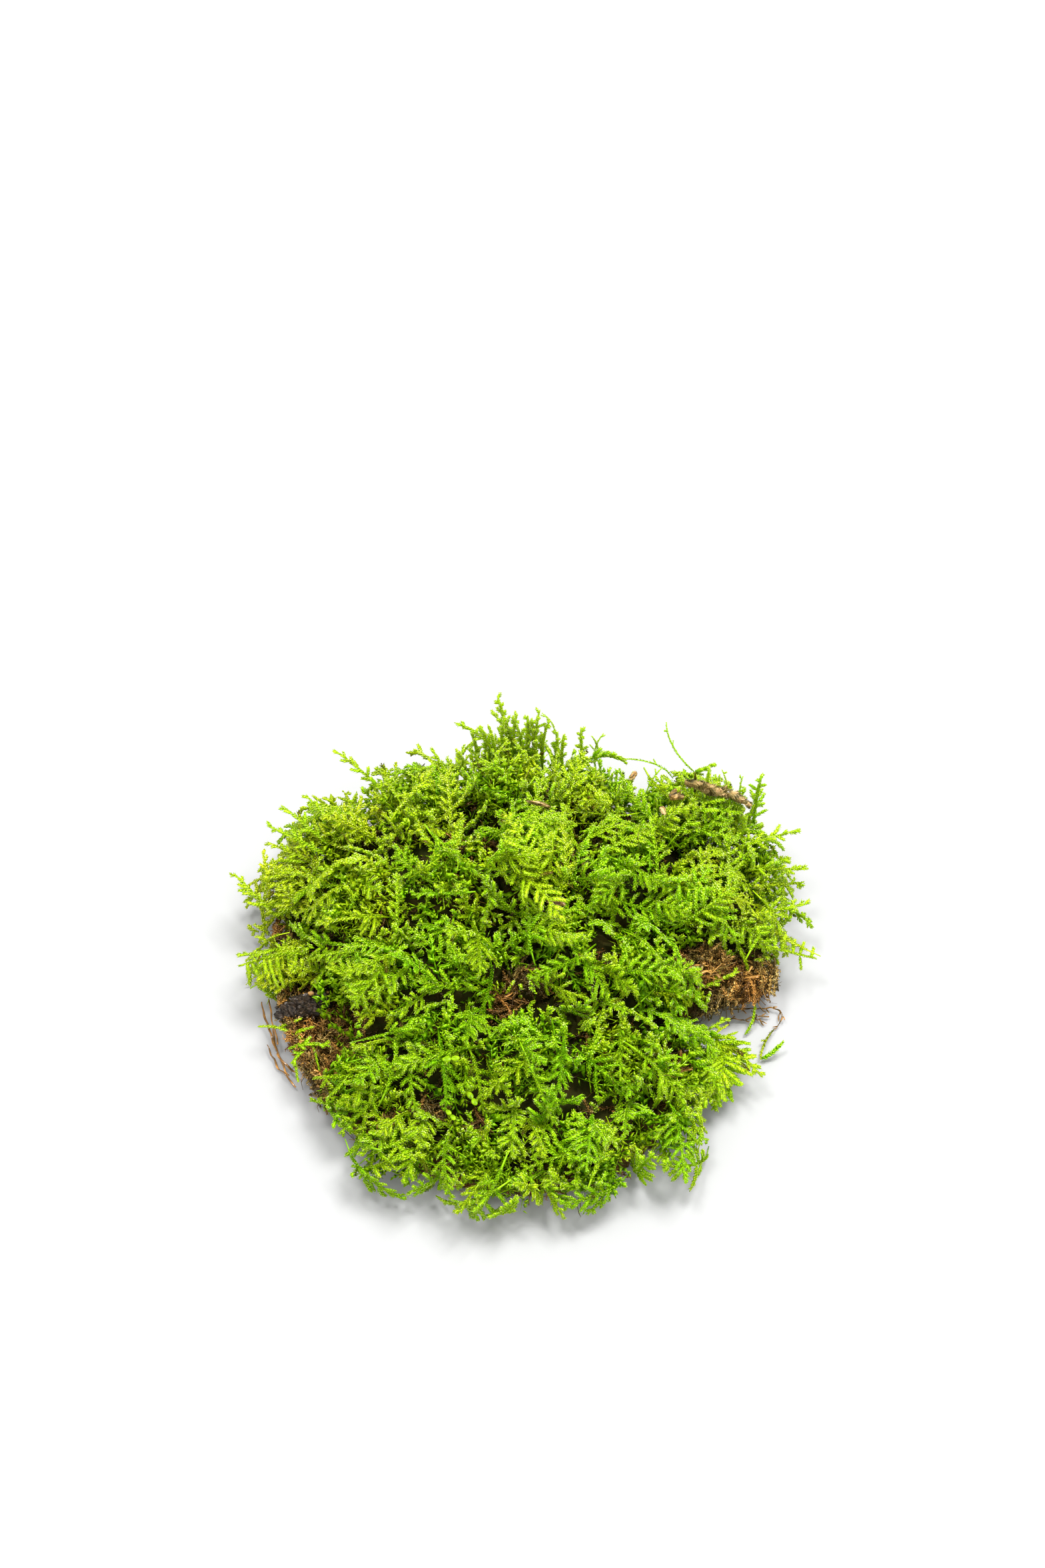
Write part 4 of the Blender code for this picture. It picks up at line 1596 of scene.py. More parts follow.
    def _in_patches(self, count: int, rng: Rng) -> Array:
        """Places in the patches, each patch by its share of dead branches.

        Args:
            count: How many.
            rng: The source of chance.

        Returns:
            The places.
        """
        weight = np.array([patch.dead for patch in PATCHES], float)
        rows = rng.choice(len(PATCHES), count, p=weight / weight.sum())
        table = np.array([(p.x, p.y, p.z, p.half_x, p.half_y) for p in PATCHES])[rows]
        turn, share = rng.uniform(0, 2 * math.pi, count), np.sqrt(rng.random(count)) * 1.1
        fall = rng.uniform(-1.6, 0.9, count)
        places = self._held(np.stack([table[:, 0] + table[:, 3] * share * np.cos(turn),
                                      table[:, 1] + table[:, 4] * share * np.sin(turn),
                                      table[:, 2] + fall], 1))
        keep_above(places, self._ground(places) + 0.3 * fall)
        return places

    def _strewn(self, middle: Array, kind: Strewing, rng: Rng) -> Shoots:
        """Curved axes that lie any way about given places, and mostly along the mat's side where it is near.

        Args:
            middle: Their middles.
            kind: How they lie.
            rng: The source of chance.

        Returns:
            The axes, their ages higher in rusty places, lower under the moss as painted shade, and varied by
            chance.
        """
        count = len(middle)
        way = unit(rng.normal(0, 1, (count, 3)) * [1, 1, 0.35])
        outward = unit(middle * [1, 1, 0])
        near_side = 0.75 * (self._share(middle) > 0.92)[:, None]
        way = unit(way - near_side * (way * outward).sum(1)[:, None] * outward)
        half = rng.uniform(*kind.reach, (count, 1))
        bend = rng.normal(0, kind.curl, (count, 2, 3)) * [1, 1, 0.6]
        curve = bowed(middle, way * half, way + bend[:, 0], way + bend[:, 1])
        keep_above(curve, 0.3)
        # Lower ages under the moss are painted shade.
        age = 0.18 + 0.30 * self._rust(middle) + rng.normal(0, 0.16, count)
        tint = 0.45 + 0.35 * waves(middle, 9.0, 20) + rng.normal(0, 0.22, count)
        return Shoots.plain(curve, np.stack([age, age + 0.12], 1), tint, rng.uniform(*kind.girth, count),
                            0.8, 2.8)

    def tangle(self, rng: Rng) -> Surface:
        """Loose fibres, shreds and dead branches, curled and lying any way on the felt.

        Args:
            rng: The source of chance.

        Returns:
            All of them as one surface.
        """
        fibres = self._strewn(self._scatter(self.fibres, rng), FIBRES, rng)
        scraps = np.concatenate([self._in_patches(self.shreds, rng), self._scatter(self.rim_shreds, rng)])
        shreds = self._strewn(scraps, SHREDS, rng)
        dead = self._strewn(self._in_patches(sum(patch.dead for patch in PATCHES), rng) + [0, 0, 0.4],
                            PATCH_SHOOTS, rng)
        dead.leaf, dead.dense = dead.leaf * 0.75, dead.dense * 1.9
        rim = self._strewn(self._scatter(self.rim_shoots, rng), RIM_SHOOTS, rng)
        buried = self._strewn(self._on_heap(self.old_shoots, rng), HEAP_SHOOTS, rng)
        leafy = Shoots.joined([dead, rim, buried])
        surface = Surface.joined([
            fibres.stems(5, 3, taper=0.4, flat=1.0), shreds.stems(5, 4, taper=0.85, flat=0.25),
            leafy.stems(5, 3, taper=0.5), leafy.leaves(DEAD_LEAVES, rng),
        ])
        keep_above(surface.points, 0.15)
        return surface

    def build(self) -> None:
        """Makes the mat as three pieces: its felt, the heap on it, and the tangle on both."""
        tangle = self.tangle(np.random.default_rng(self.seed))
        put_in_scene("old_growth_tangle", tangle, DEAD_SHOOTS, smooth=True)
        put_in_scene("old_growth_heap", self._body(self.heap, *self.heap_grid, True), FELT)
        felt = self._body(self.profile, self.angles, self.rings, False)
        put_in_scene("old_growth_felt", felt, FELT, self.node)


# ---- litter


def pebble(centre: Point, size: Point, rough: float, pitch: float, seed: int, chart: Span,
           turns: Counts = (36, 24)) -> Surface:
    """A closed rounded body: a sphere's grid of angles, stretched, and pushed out and in by waves.

    Args:
        centre: Its middle, in mm.
        size: Its half lengths along X, Y and Z.
        rough: How far the waves push, as a share of its size.
        pitch: The waves' length in mm.
        seed: Which waves.
        chart: Its mean place on the chart.
        turns: Points round it and from pole to pole.

    Returns:
        The body.
    """
    around = np.linspace(0, 2 * math.pi, turns[0], endpoint=False)
    rise = np.linspace(-math.pi / 2, math.pi / 2, turns[1])[1:-1, None]
    ball = polar(np.cos(rise), around, np.sin(rise)).reshape(-1, 3)
    places = np.concatenate([ball, [[0, 0, -1.0], [0, 0, 1.0]]]) * size
    push = 1 + rough * (waves(places, pitch, seed) + 0.5 * waves(places, pitch / 2.7, seed + 1))
    points = places * push[:, None] + centre
    shade = np.stack([chart[0] + 0.25 * waves(places, pitch / 2, seed + 2),
                      chart[1] + 0.25 * waves(places, pitch, seed + 3)], 1)
    everything, faces = closed_rings(points[:-2].reshape(turns[1] - 2, turns[0], 3), points[-2], points[-1])
    return Surface(everything, faces, shade)


def middle_of(node: str) -> Array:
    """The middle of a CAD node's box, in mm."""
    low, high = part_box(node)
    return (np.array(low) + np.array(high)) / 2 / MM


def turned(surface: Surface, centre: Array, degrees: float, tilt: float = 0.0) -> Surface:
    """Tilts a surface about Y through a centre, then turns it about the upright.

    Args:
        surface: What to turn.
        centre: The point that stays.
        degrees: How far to turn, anticlockwise seen from above.
        tilt: How far to tilt it, in degrees.

    Returns:
        The turned surface.
    """
    lean, turn = math.radians(tilt), math.radians(degrees)
    tilting = np.array([[math.cos(lean), 0, math.sin(lean)], [0, 1, 0], [-math.sin(lean), 0, math.cos(lean)]])
    turning = np.array([[math.cos(turn), -math.sin(turn), 0], [math.sin(turn), math.cos(turn), 0], [0, 0, 1]])
    return replace(surface, points=(surface.points - centre) @ (turning @ tilting).T + centre)


CHIP_PROFILE = ((0.0, 0.0, 1.0), (0.4, 0.9, 1.0), (0.5, 1.0, 0.0), (0.6, 0.9, -1.0), (1.0, 0.0, -1.0))
CHIP_GRID = (56, 21)
CHIP_GRAIN = (0.35, 2.2, 1.0)


@dataclass(frozen=True)
class Flake(Piece):
    """A thin chip of bark or leaf that lies on the moss, with a jagged edge and a grain.

    Attributes:
        size: Its half lengths, in mm.
        heading: The direction of its long side, in degrees from +X.
        chart: Its mean place on the finish's chart.
        corners: Corners of its outline.
        curl: How far its middle stands above its edge, as a share of its half length.
        tilt: How far it slopes down along its heading, in degrees.
        beside: How far it lies from the middle of the CAD node, which a chip beside does not stand for.
    """

    size: Point
    heading: float
    chart: Span
    corners: int = 7
    curl: float = 0.15
    tilt: float = 0.0
    beside: Point | None = None

    def build(self, seed: int) -> None:
        """Makes the flake at the middle of its CAD node, or beside it.

        Its outline is a polygon of uneven corners with small notches, bent down towards its edge and
        ridged along its grain.

        Args:
            seed: Which draw of chance it is.
        """
        rng = np.random.default_rng(seed)
        centre = middle_of(self.node) + (self.beside or (0, 0, 0))
        angle = np.linspace(0, 2 * math.pi, CHIP_GRID[0], endpoint=False)
        corner = np.sort(rng.uniform(-0.25, 0.25, self.corners) + np.arange(self.corners)) * 2 * math.pi
        corner /= self.corners
        edge = np.interp(angle, corner % (2 * math.pi), rng.uniform(0.55, 1.05, self.corners),
                         period=2 * math.pi) + rng.normal(0, 0.05, angle.size)
        share, side = along_profile(CHIP_PROFILE, CHIP_GRID[1])
        flat = polar(share * edge, angle, 0.0) * [*self.size[:2], 1.0]
        ridge = waves(flat * CHIP_GRAIN, 1.6, seed)
        rise = self.size[2] * side * (1 - 0.4 * share**2) * (1 + 0.45 * ridge)
        bend = self.curl * self.size[0] * (0.5 - share**2 + 0.5 * waves(flat, 2.6, seed + 1))
        rings = np.stack([flat[:, :, 0], flat[:, :, 1], rise + bend], 2) + centre
        points, faces = closed_rings(rings[1:-1][::-1], rings[-1, 0], rings[0, 0])
        grain = waves((points - centre) * CHIP_GRAIN, 1.1, seed + 2)
        chart = np.stack([self.chart[0] + 0.3 * grain + 0.2 * waves(points, 0.6, seed + 3),
                          self.chart[1] + 0.3 * waves(points, 2.0, seed + 4)], 1)
        body = turned(Surface(points, faces, chart), centre, self.heading, self.tilt)
        if self.beside:
            put_in_scene(f"{self.node}_chip_beside", body, DRY)
        else:
            self.put("chip", body, DRY)


FLAKES = (
    Flake("bark_flake_back", (1.35, 0.62, 0.2), 112, (0.95, 0.45), 6, tilt=12),
    Flake("bark_flake_back", (1.7, 1.4, 0.5), 30, (0.42, 0.95), 6, 0.1, 20, beside=(2.4, 3.0, 0.2)),
    Flake("bark_sliver_crown", (2.6, 0.55, 0.25), -14, (0.55, 0.55), 8, 0.08, 5),
    Flake("bark_sliver_heart", (2.1, 0.42, 0.2), -14, (0.55, 0.85), 8, 0.08, -6),
    Flake("leaf_scrap_bay", (1.5, 0.8, 0.12), 60, (0.85, 1.0), 6, 0.3, 15),
)


@dataclass(frozen=True)
class HumusLump(Piece):
    """The crumbling black lump of rotted wood at the left.

    Attributes:
        middle: Its middle seen from above, in mm.
        peak: The height of its middle, in mm.
        foot: The least height of its pieces.
        hearts: Its large parts, each as its middle and its half lengths in mm.
        heart_turns: Points round each of them and from pole to pole.
        chunks: Black chunks in it.
        crumbs: Small crumbs on it and about it.
        bud: The orange-brown bud on it, as its middle and its half lengths.
        seed: Which draw of chance it is.
    """

    node: str = "humus_lump"
    middle: Span = (-38.1, -10.9)
    peak: float = 9.2
    foot: float = 5.6
    hearts: tuple[tuple[Point, Point], ...] = (
        ((-40.4, -11.7, 7.2), (2.4, 1.6, 1.7)), ((-37.6, -10.6, 7.9), (2.7, 1.9, 1.9)),
        ((-35.0, -9.8, 7.8), (2.0, 1.5, 1.6)))
    heart_turns: Counts = (54, 34)
    chunks: int = 30
    crumbs: int = 130
    bud: tuple[Point, Point] = ((-36.6, -9.3, 9.8), (0.62, 0.45, 0.45))
    seed: int = 31

    def _pieces(self, count: int, reach: Span, size: Span, age: Span, turns: Counts,
                rng: Rng) -> list[Surface]:
        """Angular pieces heaped about the lump's middle.

        Args:
            count: How many.
            reach: How far they spread along X and Y.
            size: Their half lengths, from and to.
            age: Their places on the chart, from and to.
            turns: Points round each and from pole to pole.
            rng: The source of chance.

        Returns:
            The pieces.
        """
        made = []
        for _ in range(count):
            off = rng.normal(0, 0.6, 2).clip(-1.1, 1.1)
            top = self.peak - 2.4 * float(off @ off)
            place = (self.middle[0] + reach[0] * off[0], self.middle[1] + reach[1] * off[1],
                     max(rng.uniform(top - 1.8, top), self.foot))
            half = tuple(rng.uniform(*size) * rng.uniform(0.6, 1.2, 3))
            piece = pebble(place, half, 0.22, half[0] * 1.6, int(rng.integers(1000)),
                           (rng.uniform(*age), rng.uniform(0.0, 0.9)), turns)
            made.append(turned(piece, np.array(place), rng.uniform(0, 180), rng.uniform(-30, 30)))
        return made

    def build(self) -> None:
        """Makes the large parts, the chunks, the crumbs and the bud as one piece."""
        rng = np.random.default_rng(self.seed)
        bud = pebble(*self.bud, 0.06, 1.5, 90, (0.95, 0.95), (16, 12))
        hearts = [pebble(place, half, 0.13, 1.5, 92 + 5 * number, (0.32, 0.2), self.heart_turns)
                  for number, (place, half) in enumerate(self.hearts)]
        self.put("crumbs", Surface.joined([
            *hearts, *self._pieces(self.chunks, (3.6, 2.0), (0.3, 0.75), (0.1, 0.6), (8, 6), rng),
            *self._pieces(self.crumbs, (4.2, 2.4), (0.12, 0.32), (0.2, 1.0), (5, 4), rng), bud,
        ]), ROTTEN)


@dataclass(frozen=True)
class DeadStem(Piece):
    """The old stem at the right back, crusted with dry scale leaves.

    Attributes:
        heading: The direction of its far end, in degrees from +X.
        dip: How far that end points below level, in degrees.
        half: Half its length, in mm.
        girth: Half its width.
        bud: The green bud at its end, as its middle and its half lengths.
        seed: Which draw of chance it is.
    """

    node: str = "dead_stem"
    heading: float = -7.0
    dip: float = 22.0
    half: float = 6.3
    girth: float = 0.85
    bud: tuple[Point, Point] = ((28.0, 25.0, 17.8), (1.5, 1.0, 0.9))
    seed: int = 55

    def build(self) -> None:
        """Makes the stem along its CAD node, with close-set scales all round and a green bud at its end."""
        rng = np.random.default_rng(self.seed)
        centre = middle_of(self.node)
        turn, dip = math.radians(self.heading), math.radians(self.dip)
        way = np.array([math.cos(turn) * math.cos(dip), math.sin(turn) * math.cos(dip), -math.sin(dip)])
        curve = bowed(centre[None], (way * self.half)[None], (way + [0, 0.1, 0.3])[None],
                      (way + [0, -0.1, -0.2])[None])
        main = Shoots.plain(curve, np.array([[0.55, 0.6]]), np.array([0.3]), np.array([self.girth]), 0.8, 60)
        scales = Foliage(spread=(60, 34), width=0.8)
        surface = Surface.joined([main.leaves(scales, rng), main.stems(30, 10, taper=0.6, flat=0.8)])
        crust = waves(surface.points, 1.5, 56)
        surface.points += 0.22 * (waves(surface.points, 2.2, 57) + crust)[:, None] * UP
        surface.points[:, 1] += 0.25 * waves(surface.points * [1, 0, 0], 5.0, 59)
        surface.chart += crust[:, None] * [0.32, 0.3]
        bud = pebble(*self.bud, 0.08, 1.8, 58, (0.9, 0.5), (20, 14))
        put_in_scene(f"{self.node}_bud", bud, SEED_LEAF, smooth=True)
        self.put("scales", surface, DRY)


@dataclass(frozen=True)
class Strand(Piece):
    """A bare strand that lies by the mat.

    Attributes:
        runs: The control points of its curves in mm, end to end.
        girth: Its radius.
        chart: Its place on the chart.
        hairs: The length of the rhizoids that leave it, from and to, if it has any.
    """

    runs: tuple[tuple[Point, Point, Point, Point], ...]
    girth: float
    chart: Span
    hairs: Span | None

    def build(self, seed: int) -> None:
        """Makes the strand and the fine rhizoids that leave it.

        Args:
            seed: Which draw of chance it is.
        """
        rng = np.random.default_rng(seed)
        curve = np.array(self.runs, float)
        full = np.ones(len(curve))
        main = Shoots.plain(curve, np.outer(full, [self.chart[0], self.chart[0] + 0.2]), full * self.chart[1],
                            full * self.girth)
        parts = [main.stems(40, 6, taper=0.3, flat=0.7)]
        if self.hairs:
            hairs = main.branches(Branching(1.2, 0.05, self.hairs, (70, 40), 0.5, 0.1), rng)
            hairs.girth *= 0.3
            parts.append(hairs.stems(5, 3, flat=1.0))
        surface = Surface.joined(parts)
        surface.points += 0.14 * np.stack([waves(surface.points, 2.6, seed + axis) for axis in range(3)], 1)
        surface.chart += waves(surface.points, 1.3, seed)[:, None] * [0.12, 0.2]
        keep_above(surface.points, 0.12)
        self.put("fibres", surface, DEAD_SHOOTS)


STRANDS = (
    Strand("root_strand_right", (
        ((35.2, -8.6, 2.2), (38.0, -8.4, 0.9), (42.6, -7.6, 0.8), (44.4, -8.2, 0.9)),
        ((44.4, -8.2, 0.9), (46.2, -8.8, 1.0), (45.6, -10.4, 0.8), (44.0, -12.0, 0.7)),
        ((34.6, -10.2, 1.6), (37.2, -10.6, 0.7), (40.0, -9.4, 0.7), (43.0, -9.4, 0.8)),
        ((40.0, -8.6, 1.2), (41.4, -9.4, 0.6), (41.6, -10.4, 0.6), (42.2, -11.2, 0.5)),
    ), 0.16, (0.30, 0.5), (1.2, 2.4)),
    Strand("straw_left", (
        ((-45.4, -8.4, 4.4), (-45.4, -10.8, 2.6), (-43.9, -13.0, 1.6), (-42.8, -16.4, 1.6)),
        ((-44.5, -15.2, 1.4), (-43.8, -18.0, 0.7), (-41.6, -20.4, 0.7), (-39.2, -22.9, 1.0)),
        ((-42.6, -17.0, 1.8), (-41.8, -18.6, 2.2), (-40.4, -20.0, 2.0), (-38.9, -20.9, 2.2)),
        ((-44.2, -7.4, 3.8), (-44.2, -10.0, 3.0), (-43.5, -12.6, 2.6), (-42.4, -15.6, 2.8)),
        ((-43.7, -12.0, 2.2), (-43.3, -15.0, 1.5), (-42.0, -18.4, 1.5), (-40.3, -21.4, 2.0)),
    ), 0.2, (0.36, 0.8), None),
)


@dataclass(frozen=True)
class Seedling(Piece):
    """A seedling with two round seed leaves.

    Attributes:
        heading: The direction of its pair of leaves, in degrees from +X.
        size: A leaf's half length, in mm.
        width: A leaf's width as a share of its length.
        thickness: Half a leaf's thickness, in mm.
        girth: The stalk's radius.
        root: How far the stalk goes on below the CAD node's box.
    """

    heading: float
    size: float = 0.74
    width: float = 0.70
    thickness: float = 0.16
    girth: float = 0.17
    root: float = 2.6

    def build(self, seed: int) -> None:
        """Makes the stalk and two spoon-shaped leaves as one piece.

        Args:
            seed: Which waves the leaves have.
        """
        low, high = (np.array(corner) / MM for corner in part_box(self.node))
        centre = (low + high) / 2
        top = np.array([centre[0], centre[1], high[2] - 0.15])
        foot = np.array([centre[0] + 0.3, centre[1] + 0.2, low[2] - self.root])
        stalk = Shoots.plain(arched(foot[None], top[None], UP[None] + 0.3, UP[None]), np.array([[0.1, 0.3]]),
                             np.array([0.8]), np.array([self.girth]))
        parts = [stalk.stems(6, 6, taper=0.1, flat=1.0)]
        half = (self.size, self.size * self.width, self.thickness)
        for side in (-1, 1):
            way = np.array([side * self.size * 0.98, 0, 0.12])
            leaf = pebble(tuple(top + way), half, 0.03, 2.0, seed + side, (0.7, 0.4), (24, 14))
            parts.append(turned(leaf, top, self.heading))
        self.put("leaves", Surface.joined(parts), SEED_LEAF, smooth=True)


SEEDLINGS = (Seedling("seedling_bright", 6), Seedling("seedling_fallen", -58, 0.72),
             Seedling("seedling_small", -50, 0.6))


# ---- studio


@dataclass(frozen=True)
class Lamp:
    """A square soft light.

    Attributes:
        name: Its name.
        place: Where it hangs, in metres.
        size: Its side in metres.
        watts: Its power.
    """

    name: str
    place: Point
    size: float
    watts: float

    def hang(self) -> None:
        """Hangs the light so that it faces the clump."""
        data = bpy.data.lights.new(self.name, "AREA")
        data.size, data.energy = self.size, self.watts
        lamp = bpy.data.objects.new(self.name, data)
        lamp.location = self.place
        lamp.rotation_euler = (-lamp.location.normalized()).to_track_quat("-Z", "Y").to_euler()
        bpy.context.scene.collection.objects.link(lamp)


@dataclass(frozen=True)
class Studio:
    """The pale floor, the soft light and the camera.

    Attributes:
        back: The camera's distance in front of the origin, in metres.
        height: Its height.
        below: How far below level it looks, in degrees.
        focal: Its focal length in mm.
        sensor: The picture's long side on its sensor, in mm.
        clip: The nearest and farthest distances that it shows, in metres.
        floor: The floor's colour, linear.
        floor_roughness: How matt the floor is, from 0 to 1.
        floor_half: Half the floor's side, in metres.
        sky: The strength of the white light from all round.
        lamps: The lights that hang over the clump.
    """

    back: float = 0.26473
    height: float = 0.55761
    below: float = 61.564
    focal: float = 80.11
    sensor: float = 36.0
    clip: Span = (0.01, 20.0)
    floor: float = 0.34
    floor_roughness: float = 0.9
    floor_half: float = 3.0
    sky: float = 1.40
    lamps: tuple[Lamp, ...] = (
        Lamp("key", (0.42, 0.40, 1.35), 0.5, 28.0),
        Lamp("fill", (-0.35, 0.25, 1.42), 0.3, 13.0),
    )

    def build(self) -> None:
        """Lays the floor, hangs the lights and sets up the camera."""
        scene = bpy.context.scene
        scene.view_settings.view_transform = "Standard"
        world = bpy.data.worlds.new("studio")
        world.use_nodes = True
        light = world.node_tree.nodes["Background"]
        light.inputs["Color"].default_value = (1.0, 1.0, 1.0, 1.0)
        light.inputs["Strength"].default_value = self.sky
        scene.world = world
        mesh = bpy.data.meshes.new("floor")
        half = self.floor_half
        corners = [(-half, -half, 0), (half, -half, 0), (half, half, 0), (-half, half, 0)]
        mesh.from_pydata(corners, [], [(0, 1, 2, 3)])
        paint = bpy.data.materials.new("floor")
        paint.use_nodes = True
        shader = paint.node_tree.nodes["Principled BSDF"]
        shader.inputs["Base Color"].default_value = (self.floor, self.floor, self.floor, 1.0)
        shader.inputs["Roughness"].default_value = self.floor_roughness
        mesh.materials.append(paint)
        floor = bpy.data.objects.new("floor", mesh)
        scene.collection.objects.link(floor)
        floor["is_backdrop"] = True
        for lamp in self.lamps:
            lamp.hang()
        data = bpy.data.cameras.new("camera")
        data.lens, data.sensor_width, data.sensor_fit = self.focal, self.sensor, "AUTO"
        data.clip_start, data.clip_end = self.clip
        camera = bpy.data.objects.new("camera", data)
        camera.location = (0.0, -self.back, self.height)
        camera.rotation_euler = (math.radians(90 - self.below), 0.0, 0.0)
        scene.collection.objects.link(camera)
        scene.camera = camera


# ---- the clump

FIRST_TUFT_SEED = 100
FIRST_SEED = 300
SEED_STEP = 7
# The third number lightens a tuft's colours: higher at the back and the sides as painted light, as well as
# for younger growth.
HABITS = {
    "tuft_back_crest": Habit(0.1, 0.46, 0.28, spacing=3.35, slender=0.8, rise=2.0),
    "tuft_back_left": Habit(0.3, 0.5, 0.27),
    "tuft_back_left_edge": Habit(0.35, 0.6, 0.25),
    "tuft_back_right": Habit(0.2, 0.45, 0.22, spacing=3.55, slender=0.6, rise=0.8),
    "tuft_right_back": Habit(0.4, 0.42, 0.14),
    "tuft_right_shoulder": Habit(0.4, 0.5, 0.26),
    "tuft_left_shoulder": Habit(0.35, 0.75, 0.21),
    "tuft_left_middle": Habit(0.4, 0.5, 0.1),
    "tuft_crown_left": Habit(0.4, 0.32, 0.08),
    "tuft_crown": Habit(0.7, 0.4, 0.06, lean=75),
    "tuft_crown_right": Habit(0.6, 0.3, 0.06),
    "tuft_right_middle": Habit(0.5, 0.34, 0.08),
    "tuft_right_edge": Habit(0.4, 0.45, 0.23),
    "tuft_left_edge": Habit(0.5, 0.6, 0.12),
    "tuft_left_heart": Habit(0.5, 0.3, 0.04),
    "tuft_heart_left": Habit(0.5, 0.2, 0.02),
    "tuft_heart": Habit(0.5, 0.2, 0.04),
    "tuft_right_heart": Habit(0.45, 0.22, 0.05),
    "tuft_left_front": Habit(0.5, 0.3, 0.04),
    "tuft_front_left": Habit(0.4, 0.18, 0.03),
    "tuft_front_middle": Habit(0.4, 0.18, 0.05),
    "tuft_front_right": Habit(0.45, 0.2, 0.05),
    "tuft_right_front": Habit(0.5, 0.3, 0.1),
    "tuft_rim_left": Habit(0.55, 0.3, 0.12),
    "tuft_rim_middle": Habit(0.5, 0.3, 0.14),
    "tuft_rim_right": Habit(0.5, 0.26, 0.12),
    "tuft_rim_far_right": Habit(0.5, 0.3, 0.12),
}
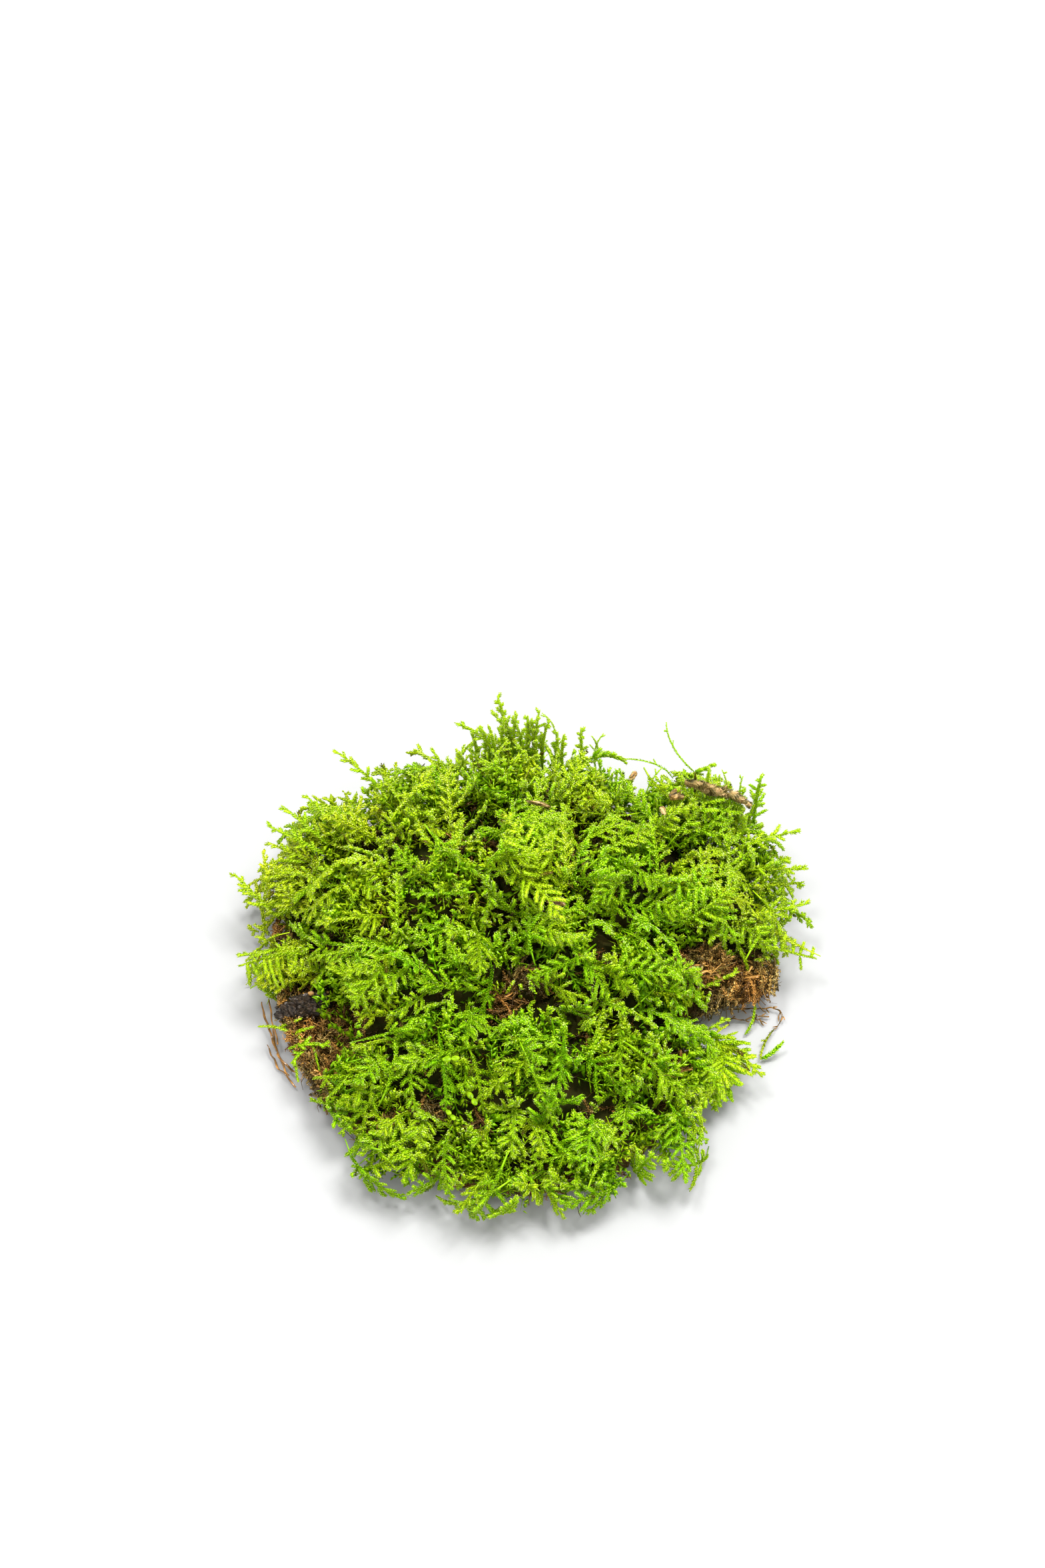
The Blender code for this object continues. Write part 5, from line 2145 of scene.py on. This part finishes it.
TUFT_SPRIGS = {
    "tuft_back_crest": (
        *standing((-1.5, 33.0, 15, -0.9, 35.6, 28.4, 3.0, -0.1, 0.2, 0.2, 0.1)),
        *standing((0.4, 33.5, 14, 0.9, 35.8, 27.6, 2.6, 0.2, 0.2, 0, 0.1)),
        Sprig((4.4, 33, 13), (3.4, 36, 28.2), Form.THREAD, 2.4, rise=(0.6, 0.2, 1), fall=(-0.8, 0, 1)),
        *standing((5.6, 32.0, 12, 6.1, 34.8, 23.6, 2.8, 0.2, 0.2, 0, 0.1)),
        Sprig((-6, 32.5, 17), (-7.4, 33.8, 27.6), Form.PLAIN, rise=(0.3, 0, 1), fall=(-0.2, 0, 1)),
        Sprig((-5.2, 32.5, 18), (-6, 34, 27.4), Form.PLAIN, rise=(0.2, 0, 1), fall=(-0.2, 0, 1)),
        Sprig((-2.6, 33.4, 18), (-5.4, 36.6, 27), reach=1.6, rise=(0, 0.3, 1), fall=(-0.9, 0.1, 0.8)),
        *standing(
            (-8.4, 31.6, 15, -9.0, 33.6, 25.0, 2.6, 0.1, 0.2, -0.4, 0.1),
            (-6.6, 32.0, 16, -7.9, 34.4, 25.8, 2.2, 0.1, 0.2, -0.6, 0.1),
            (-3.4, 32.6, 16, -3.2, 35.2, 28.0, 2.8, -0.1, 0.2, 0.1, 0.1),
            (-0.4, 33.0, 15, -1.9, 35.8, 27.0, 2.4, 0.2, 0.2, -0.4, 0.1),
            (1.8, 32.8, 14, 1.6, 35.6, 27.0, 3.0, 0.1, 0.2, -0.1, 0.1),
            (3.6, 32.4, 13, 4.8, 35.4, 26.6, 2.6, -0.1, 0.2, 0.3, 0.1),
            (7.0, 31.6, 12, 7.4, 34.0, 24.0, 2.6, 0, 0.2, 0.2, 0.1),
            (-12.8, 30.6, 12, -15.8, 33.6, 18.8, 2.2, -0.3, 0.2, -0.6, 0.4),
        ),
    ),
    "tuft_back_right": (
        *standing((10.2, 32.0, 10, 10.3, 34.8, 25.0, 2.8, 0.1, 0.2, 0, 0.1)),
        Sprig((15.6, 32.5, 4), (16.2, 34.2, 9.6), Form.PLAIN, rise=(0.2, 0.2, 1), fall=(0.2, 0.1, 1)),
        *standing((17.4, 29.8, 6, 19.9, 31.3, 14.2, 1.6, 0.1, 0.1, 0.3, 0.2)),
        Sprig((18.2, 28.4, 7), (19.3, 30.5, 14.2), Form.PLAIN, rise=(0.1, 0.1, 1), fall=(0.1, 0.3, 1)),
    ),
    "tuft_crown": (
        Sprig((5, 3, 23), (-3.2, 17.4, 26.5), Form.FERN, 6.0, (-0.5, 0.9, 0.9), (-0.5, 1, -0.3),
              (0.1, -0.45, 1), 0.55, (0.42, 0.95), 1.1),
        Sprig((-2, 8.5, 22), (6.6, -2, 23.6), Form.FERN, 6.0, (0.5, -0.7, 1.0), (0.4, -1, -0.6),
              (0.3, -0.3, 1), 0.6, (0.42, 0.95), 1.1),
    ),
    "tuft_right_back": (
        Sprig((40.8, 22.6, 10), (41.6, 25.6, 24.6), Form.LOOSE, 4.4, (0, 0.2, 1), (0.1, 0.1, 1),
              (0, -1, 0.2), 0.3,
              stout=1.1),
        Sprig((32.4, 24.2, 18), (32.4, 25.4, 27.6), Form.PLAIN, rise=(0, 0.2, 1), fall=(0.1, 0, 1)),
        Sprig((34.6, 24.6, 16), (34.4, 26.4, 23.2), Form.PLAIN, rise=(0, 0.2, 1), fall=(0, 0, 1), stout=0.8),
        Sprig((36.8, 24.4, 16), (34.6, 25.6, 26.6), Form.THREAD, 1.6, (-0.2, 0.2, 1), (-0.3, 0, 1),
              warmth=0.6),
        Sprig((38.6, 23.4, 14), (38.4, 25.6, 24.2), Form.THREAD, 2.2, (-0.1, 0.2, 1), (0.2, 0, 1),
              warmth=0.4),
        Sprig((30.2, 25.2, 19), (30, 25.6, 25.6), Form.PLAIN, rise=(0, 0.1, 1), warmth=1.0, age=(0.12, 0.2),
              stout=0.7),
        *standing(
            (30.6, 20.4, 16, 29.4, 22.6, 21.8, 2.6, 0, 0.1, -0.3, 0.5),
            (28.4, 21.8, 16, 27.0, 24.0, 22.8, 2.6, -0.1, 0.1, -0.2, 0.3),
            (28.8, 24.0, 16, 27.8, 26.4, 23.2, 2.6, -0.1, 0.3, -0.1, 0.3),
            (33.4, 20.2, 15, 32.6, 21.8, 20.6, 2.6, 0, 0.1, 0.1, 0.4),
            (35.8, 19.6, 13, 36.2, 21.4, 18.8, 2.6, 0.2, 0.1, 0.1, 0.5),
            (37.8, 19.4, 10, 39.4, 21.6, 17.0, 2.8, 0.4, 0.1, 0.2, 0.5),
            (31.4, 24.0, 15, 30.8, 26.2, 22.4, 2.6, 0, 0.3, -0.1, 0.3),
            (34.0, 23.6, 14, 34.0, 25.8, 20.8, 2.6, 0.1, 0.3, 0, 0.3),
            (36.6, 22.8, 11, 37.4, 25.2, 18.6, 2.8, 0.3, 0.3, 0.2, 0.3),
            (38.6, 21.8, 9, 40.8, 24.0, 17.0, 2.8, 0.5, 0.3, 0.3, 0.4),
            (34.6, 22.0, 13, 35.4, 23.6, 18.6, 2.4, 0.1, 0.1, 0, 0.1),
            (37.0, 21.6, 10, 38.2, 23.2, 17.2, 2.4, 0.3, 0.1, 0.1, 0.1),
        ),
        Sprig((24.2, 18.8, 14), (24.5, 20.5, 21), Form.PLAIN, rise=(0, 0.1, 1), fall=(0, 0.3, 1)),
    ),
    "tuft_right_heart": (
        Sprig((31, -7.4, 8), (37.6, -4.5, 8.4), Form.LOOSE, 2.6, (0.8, 0, 0.6), (1, 0.3, 0)),
    ),
}


@dataclass
class MossClump:
    """The whole clump.

    Attributes:
        tufts: Its tufts.
        mat: The old growth that they stand on.
    """

    tufts: list[Tuft] = field(default_factory=lambda: [
        Tuft(node, habit, FIRST_TUFT_SEED + number, TUFT_SPRIGS.get(node, ()))
        for number, (node, habit) in enumerate(HABITS.items())])
    mat: OldGrowthMat = field(default_factory=lambda: OldGrowthMat(cushions=tuple(HABITS)))

    def build(self) -> int:
        """Makes every piece.

        Returns:
            How many triangles there are in all.
        """
        self.mat.build()
        for tuft in self.tufts:
            tuft.build()
        for number, maker in enumerate((*FRONDS, *FLAKES, *STRANDS, *SEEDLINGS)):
            maker.build(FIRST_SEED + SEED_STEP * number)
        HumusLump().build()
        DeadStem().build()
        return sum(len(piece.data.polygons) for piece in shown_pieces() if piece.type == "MESH")


def main() -> None:
    """Builds the clump and the studio, and writes the sizes."""
    logging.basicConfig(level=logging.INFO, format="%(name)s %(message)s")
    Studio().build()
    total = MossClump().build()
    LOG.info("all pieces: %d triangles", total)
    if total > TRIANGLES_MOST:
        raise ValueError(f"the clump has {total} triangles, over {TRIANGLES_MOST}")
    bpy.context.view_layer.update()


if __name__ == "__main__":
    main()
